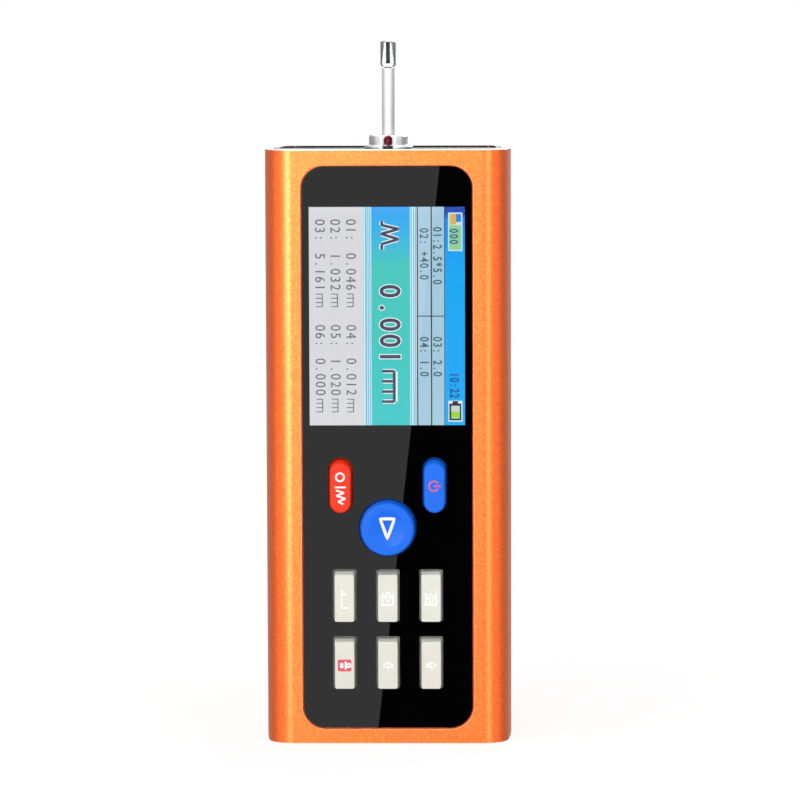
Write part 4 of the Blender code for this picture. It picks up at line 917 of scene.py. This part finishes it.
def bead(name, strokes, radius, squash):
    """Printed lines: a fine round bead along each stroke, pressed flat against the surface it lies on."""
    deselect()
    curve = bpy.data.curves.new(name, "CURVE")
    curve.dimensions = "3D"
    curve.bevel_depth = radius
    curve.bevel_resolution = 3
    curve.use_fill_caps = True
    for stroke in strokes:
        closed = stroke[0] == stroke[-1] and len(stroke) > 2
        points = stroke[:-1] if closed else stroke
        spline = curve.splines.new("POLY")
        spline.points.add(len(points) - 1)
        for point, place_on in zip(spline.points, points):
            point.co = (*place_on, 1.0)
        spline.use_cyclic_u = closed
    obj = bpy.data.objects.new(name, curve)
    bpy.context.scene.collection.objects.link(obj)
    activate(obj)
    bpy.ops.object.convert(target="MESH")
    obj = settle(name)
    levels = [point[1] for stroke in strokes for point in stroke]
    edit_all(obj)
    bpy.ops.transform.resize(value=(1, squash, 1), center_override=(0, sum(levels) / len(levels), 0))
    bpy.ops.mesh.normals_make_consistent(inside=False)
    activate(obj)
    bpy.ops.object.shade_smooth_by_angle(angle=math.radians(50))
    return obj


def legs(points):
    """A bent line as straight strokes, so that its corners stay full."""
    return [list(pair) for pair in zip(points, points[1:])]


def ring(x, y, z, radius, start=0, end=360, steps=32):
    """Points round a circle that faces the front, from one angle to another."""
    angles = [math.radians(start + (end - start) * step / steps) for step in range(steps + 1)]
    points = [(x + radius * math.cos(a), y, z + radius * math.sin(a)) for a in angles]
    if end - start == 360:
        points[-1] = points[0]
    return points


# The display is turned: its text runs down the panel, with its top to the right.
TEXT_TURN = Matrix(((0, 1, 0, 0), (0, 0, -1, 0), (-1, 0, 0, 0), (0, 0, 0, 1)))
DISPLAY_Y = -18.78 * MM
DISPLAY_THICK = 0.06 * MM
INK_Y = -18.84 * MM
INK_THICK = 0.02 * MM
FIGURE_SHARE = 0.7

# Places on the display are shares of its width, from the left, and of its height, from the top.
# Rows of readings by their place across, each with its texts and their places down.
READING_ROWS = {
    0.2390: (("01:", 0.052), ("0.046", 0.207), ("04:", 0.535), ("0.012", 0.688)),
    0.1385: (("02:", 0.052), ("1.032", 0.207), ("05:", 0.535), ("1.020", 0.688)),
    0.0400: (("03:", 0.052), ("5.161", 0.207), ("06:", 0.535), ("0.000", 0.688)),
}
UNITS_DOWN = (0.398, 0.880)
SETTINGS = (
    (0.7130, "02: +40.0", 0.095), (0.7980, "01:2.5*5.0", 0.090),
    (0.7130, "04: 1.0", 0.592), (0.7980, "03: 2.0", 0.592),
)
MAIN_ACROSS = 0.4570
MAIN_READING = (("0", 0.3515), (".", 0.4275), ("0", 0.5045), ("0", 0.5785), ("1", 0.6515))
MAIN_UNIT_DOWN = 0.752
PROFILE = (
    (0.468, 0.066), (0.468, 0.084), (0.575, 0.102), (0.462, 0.124), (0.575, 0.148), (0.468, 0.170), (0.468, 0.196),
)

# Small fields of the display: left, top, right and bottom, their colour and how far in front they lie.
FIELDS = {
    "display_status_field": ((0.893, 0.027, 0.985, 0.203), (0.62, 0.82, 0.83), 0.0),
    "display_status_green": ((0.900, 0.085, 0.977, 0.196), (0.30, 0.66, 0.34), 0.02 * MM),
    "display_status_yellow": ((0.905, 0.034, 0.944, 0.082), (0.80, 0.50, 0.08), 0.02 * MM),
    "display_status_blue": ((0.944, 0.034, 0.976, 0.070), (0.02, 0.24, 0.80), 0.03 * MM),
    "display_battery_edge": ((0.893, 0.888, 0.983, 0.984), (0.80, 0.90, 0.93), 0.0),
    "display_battery_case": ((0.899, 0.901, 0.976, 0.978), (0.012, 0.014, 0.016), 0.02 * MM),
    "display_battery_cell": ((0.911, 0.911, 0.966, 0.970), (0.58, 0.70, 0.72), 0.03 * MM),
    "display_battery_charge": ((0.911, 0.938, 0.966, 0.967), (0.33, 0.72, 0.03), 0.04 * MM),
    "display_battery_nub": ((0.920, 0.890, 0.955, 0.903), (0.012, 0.014, 0.016), 0.02 * MM),
}
FIELD_CORNER = 0.12 * MM


def screen_place(across, down):
    """A place on the display, across and up, from its two shares."""
    low, high = display_corners()
    return low.x + across * (high.x - low.x), high.z - down * (high.z - low.z)


def figure(name, sign, x, z, height, stretch, lift, bold):
    """One plain figure that reads down the display. x is its foot and z where it starts."""
    deselect()
    bpy.ops.object.text_add()
    obj = bpy.context.active_object
    obj.data.body = sign
    obj.data.size = height / FIGURE_SHARE
    obj.data.offset = bold
    obj.data.extrude = INK_THICK / 2
    obj.data.resolution_u = 4
    obj.matrix_world = Matrix.Translation((x, lift, z)) @ TEXT_TURN @ Matrix.Diagonal((stretch, 1, 1, 1))
    bpy.ops.object.convert(target="MESH")
    return settle(name)


def figures(text, across, down, height, pitch, stretch, bold=0.0, lift=INK_Y):
    """Figures that each take the same room, as on a dot display."""
    x, z = screen_place(across, down)
    signs = []
    for number, sign in enumerate(text):
        if sign == " ":
            continue
        piece = figure("figure", sign, x, z, height, stretch, lift, bold)
        ends = [vertex.co.z for vertex in piece.data.vertices]
        shift = z - pitch * (number + 0.5) - (min(ends) + max(ends)) / 2
        for vertex in piece.data.vertices:
            vertex.co.z += shift
        signs.append(piece)
    return join("figures", signs)


def comb(across, down, tall, long, radius, lift=INK_Y):
    """A plain sign in a unit's place: four strokes that hang from one."""
    x, z = screen_place(across, down)
    x += radius
    strokes = [[(x + tall, lift, z), (x + tall, lift, z - long)]]
    for share in (0.0, 0.33, 0.67, 1.0):
        strokes.append([(x + tall, lift, z - long * share), (x, lift, z - long * share)])
    return bead("unit", strokes, radius, INK_THICK / 2 / radius)


def print_on_display(name, parts, ink, colour):
    """Join printed parts into one piece of the display, in an ink of its own."""
    place(join(name, parts), "housing", "display_glass", ink_finish(ink, colour))


class TESTER_OT_display(bpy.types.Operator):
    """Model the lit display: fields of colour, plain figures and simple marks."""

    bl_idname = "tester.display"
    bl_label = "Display"

    def execute(self, context):
        low, high = display_corners()
        back_low = low - Vector((FIT, 0, FIT))
        back_high = high + Vector((FIT, 0, FIT))
        back_low.y, back_high.y = DISPLAY_Y, DISPLAY_Y + DISPLAY_THICK
        back = block("display_picture", back_low, back_high)
        place(back, "housing", "display_glass", display_finish(low, high))
        rows = []
        for across, texts in READING_ROWS.items():
            rows += [figures(text, across, down, 2.35 * MM, 1.84 * MM, 0.9) for text, down in texts]
            rows += [comb(across, down, 1.5 * MM, 3.0 * MM, 0.11 * MM) for down in UNITS_DOWN]
        print_on_display("display_readings", rows, "display_grey_ink", (0.10, 0.10, 0.115))
        settings = [
            figures(text, across, down, 2.0 * MM, 1.38 * MM, 0.78, 0.05 * MM) for across, text, down in SETTINGS
        ]
        print_on_display("display_settings", settings, "display_blue_ink", (0.05, 0.11, 0.18))
        clock = figures("10:22", 0.905, 0.757, 2.1 * MM, 1.25 * MM, 0.72, 0.07 * MM)
        counter = figures("000", 0.905, 0.098, 1.9 * MM, 1.3 * MM, 0.72, 0.05 * MM, INK_Y - 0.05 * MM)
        print_on_display("display_clock", [clock, counter], "display_navy_ink", (0.0, 0.08, 0.34))

        edge, face = [], []
        front = INK_Y - 0.02 * MM
        for pieces, bold, lift in ((edge, 0.34 * MM, INK_Y + 0.01 * MM), (face, 0.12 * MM, front)):
            for text, down in MAIN_READING:
                pieces.append(figures(text, MAIN_ACROSS, down, 4.75 * MM, 3.5 * MM, 0.92, bold, lift))
        for pieces, bold, lift in ((edge, 0.56 * MM, INK_Y + 0.012 * MM), (face, 0.34 * MM, front)):
            pieces.append(comb(MAIN_ACROSS, MAIN_UNIT_DOWN, 2.9 * MM, 7.2 * MM, bold, lift))
            spots = [screen_place(*spot) for spot in PROFILE]
            pieces.append(bead("profile", legs([(x, lift, z) for x, z in spots]), bold, INK_THICK / 2 / bold))
        print_on_display("display_reading_edge", edge, "display_white_ink", (0.90, 0.96, 1.0))
        print_on_display("display_reading", face, "display_dark_ink", (0.030, 0.035, 0.085))

        for name, ((left, top, right, bottom), colour, ahead) in FIELDS.items():
            (x_low, z_high), (x_high, z_low) = screen_place(left, top), screen_place(right, bottom)
            y = INK_Y - ahead
            field = block(name, (x_low, y - INK_THICK / 2, z_low), (x_high, y + INK_THICK / 2, z_high))
            round_edges(field, along(ALONG_Y), FIELD_CORNER, 3)
            place(field, "housing", "display_glass", ink_finish(name + "_ink", colour))
        return {"FINISHED"}


# The caps' marks are drawn in mm from the middle of the cap, across and up.
START_MARK = ((-1.7, 2.5), (1.7, 2.5), (0.0, -2.3), (-1.7, 2.5))


class TESTER_OT_start_cap(bpy.types.Operator):
    """Model the round start cap with its rolled edge and its dish."""

    bl_idname = "tester.start_cap"
    bl_label = "Start cap"

    def execute(self, context):
        x, z = cap_middle("start_button")
        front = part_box("start_button")[0].y
        edge = sizes().cap_edge
        cap = drum("start_cap_finished", (x, front, z), (x, LEDGE_Y, z), START_RADIUS, 96, "Y")
        taper = START_FRONT_RADIUS / START_RADIUS
        draw_in(cap, front, (x, z), taper, taper)
        round_front(cap, front, edge)
        pick(cap, "FACE", lambda face: face.normal.y < -FLAT)
        bpy.ops.mesh.inset(thickness=START_FRONT_RADIUS - edge - DISH_RADIUS)
        radius, level = DISH_RADIUS, 0.0
        for step in range(1, DISH_RINGS + 1):
            next_radius = DISH_RADIUS * (1 - step / (DISH_RINGS + 0.6))
            next_level = dish_level(next_radius)
            bpy.ops.mesh.inset(thickness=radius - next_radius, depth=level - next_level)
            radius, level = next_radius, next_level
        deselect()
        finish_cap(cap, "start_button", START_RADIUS, x, z)
        place(cap, "start_cap", "blue_plastic", finish_of("blue_cap"), "start_button")

        stroke = []
        for (u_from, v_from), (u_to, v_to) in zip(START_MARK, START_MARK[1:]):
            for share in (step / START_MARK_STEPS for step in range(START_MARK_STEPS)):
                u, v = (u_from + (u_to - u_from) * share) * MM, (v_from + (v_to - v_from) * share) * MM
                stroke.append((x + u, front + dish_level(math.hypot(u, v)), z + v))
        mark = bead("start_mark", [[*stroke, stroke[0]]], START_MARK_RADIUS, 0.9)
        place(mark, "start_cap", None, print_finish("white_print", (0.97, 0.98, 1.0)))
        return {"FINISHED"}


def dish_level(radius):
    """How deep the start cap's round dish is at a distance from its middle."""
    sphere = (DISH_RADIUS**2 + DISH_DEPTH**2) / (2 * DISH_DEPTH)
    return math.sqrt(sphere**2 - radius**2) - math.sqrt(sphere**2 - DISH_RADIUS**2)


def draw_in(cap, front, middle, wide, tall):
    """Draw a cap's front face in towards a point, by a share across and a share up."""
    pick(cap, "VERT", lambda v: abs(v.co.y - front) < NEAR)
    bpy.ops.transform.resize(value=(wide, 1, tall), center_override=(middle[0], front, middle[1]))


def round_front(cap, front, radius):
    """Roll the edge round a cap's front face."""
    round_edges(cap, lambda e: all(abs(v.co.y - front) < NEAR for v in e.verts), radius, 5)


def finish_cap(cap, node, half_width, x, z):
    """Add the flange behind the panel and the stem that works the switch, then shade the cap."""
    low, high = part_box(node)
    back = LEDGE_Y + CAP_FLANGE_THICK
    if node == "start_button":
        flange = drum("flange", (x, LEDGE_Y, z), (x, back, z), half_width + CAP_FLANGE, 64, "Y")
    else:
        corner = 2.0 * MM if node in OBLONGS else 0.8 * MM
        flange = rounded_block("flange", (low.x, LEDGE_Y, low.z), (high.x, back, high.z), corner, 8, ALONG_Y)
    stem = drum("stem", (x, LEDGE_Y, z), (x, CAP_END_Y, z), STEM_RADIUS, 24, "Y")
    unite(cap, flange, stem)
    tidy(cap)
    shade(cap, 40)


ZIGZAG = ((-1.0, -0.9), (0.9, -1.5), (-0.9, -2.2), (1.2, -2.9), (-0.5, -3.6), (0.7, -4.2))


class TESTER_OT_oblong_caps(bpy.types.Operator):
    """Model the red mode cap and the blue power cap, with their simple marks."""

    bl_idname = "tester.oblong_caps"
    bl_label = "Oblong caps"

    def execute(self, context):
        for node, body in OBLONGS.items():
            x, z = cap_middle(node)
            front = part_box(node)[0].y
            wide, tall = OBLONG_SIZE[0] / 2, OBLONG_SIZE[1] / 2
            cap = block(node + "_finished", (x - wide, front, z - tall), (x + wide, LEDGE_Y, z + tall))
            round_edges(cap, along(ALONG_Y), wide * ROUND_END, 16)
            draw_in(cap, front, (x, z - tall), 0.93, 1 - OBLONG_SLOPE / OBLONG_SIZE[1])
            round_front(cap, front, sizes().cap_edge)
            deselect()
            finish_cap(cap, node, wide, x, z)
            colour = "red" if node == "mode_button" else "blue"
            place(cap, body, colour + "_plastic", finish_of(colour + "_cap"), node)
        rise = sizes().mark_rise
        x, z = cap_middle("mode_button")
        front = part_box("mode_button")[0].y
        strokes = [
            *legs([(x + u * MM, front, z + v * MM) for u, v in ZIGZAG]),
            [(x - 1.3 * MM, front, z - 0.2 * MM), (x + 1.3 * MM, front, z - 0.2 * MM)],
            ring(x - 0.05 * MM, front, z + 2.2 * MM, 0.95 * MM),
        ]
        mark = bead("mode_mark", strokes, MODE_MARK_RADIUS, rise / MODE_MARK_RADIUS)
        place(mark, "mode_cap", None, finish_of("white_print"))
        x, z = cap_middle("power_button")
        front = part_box("power_button")[0].y
        x, z = x - 0.1 * MM, z + 0.05 * MM
        strokes = [ring(x, front, z, 1.15 * MM, 35, 325), [(x, front, z), (x + 1.55 * MM, front, z)]]
        mark = bead("power_mark", strokes, POWER_MARK_RADIUS, rise / POWER_MARK_RADIUS)
        place(mark, "power_cap", None, print_finish("red_print", (0.72, 0.06, 0.10)))
        return {"FINISHED"}


TRAY = ((-0.85, 1.0), (-1.25, 1.0), (-1.25, -1.6), (1.25, -1.6), (1.25, 1.0), (0.85, 1.0))
ARROW = (
    (0.0, -1.1), (-0.85, 0.0), (-0.35, 0.0), (-0.35, 1.0), (0.35, 1.0), (0.35, 0.0), (0.85, 0.0), (0.0, -1.1),
)


def turned_arrow(quarter, rise=0.0):
    """The outlined arrow, turned by quarters from pointing down."""
    cos, sin = math.cos(quarter * math.pi / 2), math.sin(quarter * math.pi / 2)
    return tuple((u * cos - v * sin, u * sin + v * cos + rise) for u, v in ARROW)


KEY_MARKS = {
    "enter_key": (((1.05, -2.3), (-0.65, -2.3), (-0.65, 2.0), (0.35, 0.9), (-0.55, 0.9)),),
    "tray_down_key": (TRAY, turned_arrow(0, 0.35)),
    "tray_up_key": (TRAY, turned_arrow(2)),
    "save_key": (((0.05, 0.75), (0.45, 0.75)), ((0.25, 0.75), (0.25, -0.75)), ((0.05, -0.75), (0.45, -0.75))),
    "left_key": (turned_arrow(-1),),
    "right_key": (turned_arrow(1),),
}


class TESTER_OT_keys(bpy.types.Operator):
    """Model the six cream keys, with their simple marks."""

    bl_idname = "tester.keys"
    bl_label = "Keys"

    def execute(self, context):
        rise = sizes().mark_rise
        for node, body in KEYS.items():
            x, z = cap_middle(node)
            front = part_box(node)[0].y
            wide, tall = KEY_SIZE[0] / 2 - KEY_RELIEF, KEY_SIZE[1] / 2
            key = block(node + "_finished", (x - wide, front, z - tall), (x + wide, LEDGE_Y, z + tall))
            round_edges(key, along(ALONG_Y), KEY_CORNER, 4)
            draw_in(key, front, (x, z - tall), 0.94, 1 - KEY_SLOPE / KEY_SIZE[1])
            round_front(key, front, KEY_EDGE)
            deselect()
            finish_cap(key, node, wide, x, z)
            place(key, body, "cream_plastic", finish_of("cream_cap"), node)
            z -= KEY_SLOPE / 2
            level = front
            strokes = []
            if node == "save_key":
                level = front - rise
                low, high = (x - 1.6 * MM, level, z - 1.4 * MM), (x + 1.6 * MM, front + rise, z + 1.4 * MM)
                field = rounded_block("save_field", low, high, 0.3 * MM, 4, ALONG_Y)
                place(field, body, None, finish_of("red_print"))
                low, high = (x - 1.05 * MM, level - rise, z - 0.6 * MM), (x - 0.3 * MM, front, z + 0.6 * MM)
                place(block("save_label", low, high), body, None, finish_of("white_print"))
                strokes.append(ring(x + 0.95 * MM, level, z, 0.42 * MM, 0, 360, 16))
            strokes += [[(x + u * MM, level, z + v * MM) for u, v in stroke] for stroke in KEY_MARKS[node]]
            mark = bead(node + "_mark", strokes, MARK_RADIUS, rise / MARK_RADIUS)
            place(mark, body, None, finish_of("white_print"))
        return {"FINISHED"}


class TESTER_OT_collar(bpy.types.Operator):
    """Finish the collar, its nut and the red lamp beside the pickup."""

    bl_idname = "tester.collar"
    bl_label = "Collar and lamp"

    def execute(self, context):
        collar = merged_copy("collar_finished", "probe_collar")
        soften(collar, COLLAR_ROUND, 3, 30)
        place(collar, "housing", "bright_steel", finish_of("turned_steel"), "probe_collar")
        lamp = merged_copy("lamp_finished", "index_lamp")
        shade(lamp, 40)
        place(lamp, "housing", "red_lens", finish_of("lamp_lens"), "index_lamp")
        return {"FINISHED"}


class TESTER_OT_pickup(bpy.types.Operator):
    """Finish the pickup's tube and slotted head."""

    bl_idname = "tester.pickup"
    bl_label = "Pickup"

    def execute(self, context):
        low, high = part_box("pickup_tube")
        x, y, _ = middle_of("pickup_tube")
        tube = drum("pickup_tube_finished", (x, y, low.z), (x, y, high.z), (high.x - low.x) / 2, 64)
        cut(tube, drum("bore", (x, y, low.z - MM), (x, y, high.z + MM), PICKUP_BORE, 48))
        soften(tube, EDGE_ROUND, 2, 30)
        place(tube, "traverse", "bright_steel", finish_of("satin_tube"), "pickup_tube")
        head = merged_copy("pickup_head_finished", "pickup_head")
        soften(head, FINE_ROUND, 2, 30)
        # The head is the shaded copy of its steel, as painted shade, and its front-facing flats are the lit copy,
        # as a painted highlight.
        place(head, "traverse", "bright_steel", finish_of("painted_shade_steel"), "pickup_head")
        paint_faces(head, finish_of("painted_highlight_steel"), lambda p: p.normal.y < -0.95 and abs(p.normal.x) < 0.01)
        # The lever is widened to fill the head's slot and made near black: painted shade in the slot.
        lever = merged_copy("stylus_lever_finished", "stylus_lever")
        edit_all(lever)
        foot = (x, y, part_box("stylus_lever")[0].z)
        bpy.ops.transform.resize(value=(LEVER_SLOT_SHADE_SPREAD, 1, LEVER_SLOT_SHADE_RISE), center_override=foot)
        deselect()
        soften(lever, FINE_ROUND, 2, 30)
        place(lever, "stylus", "bright_steel", finish_of("dark_steel_and_painted_shade"), "stylus_lever")
        return {"FINISHED"}


# The camera, fitted to the photograph.
CAMERA_TARGET = (3.008 * MM, -20.0 * MM, 81.999 * MM)
CAMERA_DISTANCE = 963.5 * MM
CAMERA_PITCH = math.radians(5.042)
CAMERA_YAW = math.radians(-1.031)
CAMERA_ROLL = math.radians(-0.18)
CAMERA_LENS = 183.8

# The light: the world as the object's matt surfaces see it, and the lamps, whose places and sizes are in mm.
WORLD_LIGHT = 0.42
LAMP_AIM = (0, 0, 75)
SHINE = (0.86, 0.90, 1.0)
LAMPS = {
    "left_lamp": ((-290, -900, 215), (300, 750), 2.5),
    "right_strip": ((470, -780, 140), (70, 900), 1.5),
    "left_shine": ((-310, -850, 275), (230, 650), 7.0, SHINE),
    "right_shine": ((400, -800, 140), (130, 900), 1.8, SHINE),
    "key": ((-600, -700, 700), (600, 600), 2.5),
    "top": ((0, -100, 1000), (700, 700), 4.0),
    "back": ((300, 800, 500), (600, 600), 5.0),
}

# How much of the floor is plain white to the camera, near the object and further away.
FLOOR_NEAR, FLOOR_FAR = 60 * MM, 180 * MM
FLOOR_WHITE_NEAR, FLOOR_WHITE_FAR = 0.86, 1.0


def soft_card(name, corners, tone):
    """A plain card that only shows in reflections, its corners given in mm."""
    deselect()
    bpy.ops.mesh.primitive_plane_add(size=1.0)
    card = settle(name)
    for vertex, corner in zip((0, 1, 3, 2), corners):
        card.data.vertices[vertex].co = [part * MM for part in corner]
    paint = Finish(name + "_paint")
    card.data.materials.append(paint.output(paint.node("Emission", {}, {"Color": (tone, tone, tone)})))
    card.visible_camera = card.visible_diffuse = card.visible_shadow = card.visible_transmission = False


def studio_lamp(name, spot, size, energy, shine=None):
    """A soft lamp that looks at the object. One with a colour of its own shows as a shine alone."""
    deselect()
    spot = Vector(spot) * MM
    bpy.ops.object.light_add(type="AREA", location=spot)
    lamp = bpy.context.active_object
    lamp.name = name
    lamp.data.shape = "RECTANGLE"
    lamp.data.size, lamp.data.size_y = (side * MM for side in size)
    lamp.data.energy = energy
    lamp.data.color = shine or (1, 1, 1)
    lamp.rotation_euler = (Vector(LAMP_AIM) * MM - spot).to_track_quat("-Z", "Y").to_euler()
    lamp.visible_camera = False
    lamp.visible_diffuse = shine is None


def white_surroundings():
    """A world that is white to look at, also in gloss and glass, and lights matt surfaces more softly."""
    world = Finish("white_surroundings", "worlds")
    seen = [world.node("LightPath", output=f"Is {ray} Ray") for ray in ("Camera", "Glossy", "Transmission")]
    any_seen = seen[0].math("MAXIMUM", seen[1]).math("MAXIMUM", seen[2])
    dim, bright = (
        world.node("Background", {}, {"Color": (1, 1, 1), "Strength": strength}) for strength in (WORLD_LIGHT, 1.0)
    )
    return world.output(world.node("MixShader", {}, {0: any_seen, 1: dim, 2: bright}), "OutputWorld")


def pale_floor():
    """A pale floor that keeps the object's shadow and is plain white further away."""
    deselect()
    bpy.ops.mesh.primitive_plane_add(size=6.0, location=(0, 0, SHELL_LOW.z - 0.05 * MM))
    floor = settle("pale_floor")
    paint = Finish("floor_paint")
    point, *_ = paint.axes()
    grain = paint.noise(point, 40 * MM, 2.0)
    tone = paint.blend(grain, (0.90, 0.90, 0.90), (0.92, 0.92, 0.92))
    matt = paint.node("BsdfDiffuse", {}, {"Color": tone, "Roughness": 0.5})
    glow = paint.node("Emission", {}, {"Color": (1.0, 1.0, 1.0), "Strength": 1.0})
    from_middle = paint.node("VectorMath", {"operation": "LENGTH"}, {0: point}, "Value")
    away = paint.node(
        "MapRange", {"interpolation_type": "SMOOTHSTEP"},
        {0: from_middle, 1: FLOOR_NEAR, 2: FLOOR_FAR, 3: FLOOR_WHITE_NEAR, 4: FLOOR_WHITE_FAR},
    )
    seen = paint.node("LightPath", output="Is Camera Ray")
    floor.data.materials.append(paint.output(paint.node("MixShader", {}, {0: seen * away, 1: matt, 2: glow})))
    floor.visible_glossy = False


def photo_camera():
    """The camera at the photograph's place."""
    deselect()
    bpy.ops.object.camera_add()
    camera = bpy.context.active_object
    camera.name = "photo_camera"
    forward = Vector((
        math.sin(CAMERA_YAW) * math.cos(CAMERA_PITCH),
        math.cos(CAMERA_YAW) * math.cos(CAMERA_PITCH),
        -math.sin(CAMERA_PITCH),
    ))
    level = Vector((math.cos(CAMERA_YAW), -math.sin(CAMERA_YAW), 0.0))
    above = level.cross(forward)
    right = level * math.cos(CAMERA_ROLL) + above * math.sin(CAMERA_ROLL)
    up = above * math.cos(CAMERA_ROLL) - level * math.sin(CAMERA_ROLL)
    turn = Matrix((right, up, -forward)).transposed().to_4x4()
    camera.matrix_world = Matrix.Translation(Vector(CAMERA_TARGET) - forward * CAMERA_DISTANCE) @ turn
    camera.data.lens = CAMERA_LENS
    camera.data.sensor_width = 36.0
    camera.data.clip_start, camera.data.clip_end = 0.01, 20.0
    return camera


class TESTER_OT_stage(bpy.types.Operator):
    """Set up the pale floor, the white surroundings, the soft lamps and the camera."""

    bl_idname = "tester.stage"
    bl_label = "Stage"

    def execute(self, context):
        scene = context.scene
        scene.view_settings.view_transform = "Standard"
        scene.world = white_surroundings()
        pale_floor()
        soft_card("panel_card", [(-26, -940, -170), (260, -940, -170), (260, -940, 118), (6, -940, 118)], 0.0)
        for name, side in (("left", -1), ("right", 1)):
            ends = [(-400, 0), (-400, 1), (700, 1), (700, 0)]
            soft_card(name + "_card", [(620 * side, -50 + 850 * far, z) for z, far in ends], 0.40)
            soft_card(name + "_back_card", [((160 + 1300 * far) * side, 850, z) for z, far in ends], 0.30)
        for name, settings in LAMPS.items():
            studio_lamp(name, *settings)
        scene.camera = photo_camera()
        return {"FINISHED"}


# The stage comes first, then the finishes, which the pieces take by name.
STEPS = (
    TESTER_OT_stage,
    TESTER_OT_finishes,
    TESTER_OT_shell,
    TESTER_OT_end_plates,
    TESTER_OT_panel,
    TESTER_OT_display,
    TESTER_OT_start_cap,
    TESTER_OT_oblong_caps,
    TESTER_OT_keys,
    TESTER_OT_collar,
    TESTER_OT_pickup,
)


class TESTER_PT_panel(bpy.types.Panel):
    """Lists the tester's sizes, colours and steps."""

    bl_idname = "TESTER_PT_panel"
    bl_label = "Surface roughness tester"
    bl_space_type = "VIEW_3D"
    bl_region_type = "UI"
    bl_category = "Tester"

    def draw(self, context):
        layout = self.layout
        for group in (sizes(), colours()):
            for name in group.__annotations__:
                layout.prop(group, name)
        for step in STEPS:
            layout.operator(step.bl_idname)


CLASSES = (TesterSizes, TesterColours, *STEPS, TESTER_PT_panel)


def register():
    """Add the classes and the scene's sizes and colours."""
    for cls in CLASSES:
        bpy.utils.register_class(cls)
    bpy.types.Scene.tester_sizes = bpy.props.PointerProperty(type=TesterSizes)
    bpy.types.Scene.tester_colours = bpy.props.PointerProperty(type=TesterColours)


def unregister():
    """Take away what register added."""
    del bpy.types.Scene.tester_colours
    del bpy.types.Scene.tester_sizes
    for cls in reversed(CLASSES):
        bpy.utils.unregister_class(cls)


def main():
    """Run each step in order."""
    register()
    for step in STEPS:
        group, name = step.bl_idname.split(".")
        getattr(getattr(bpy.ops, group), name)()
    deselect()


if __name__ == "__main__":
    main()
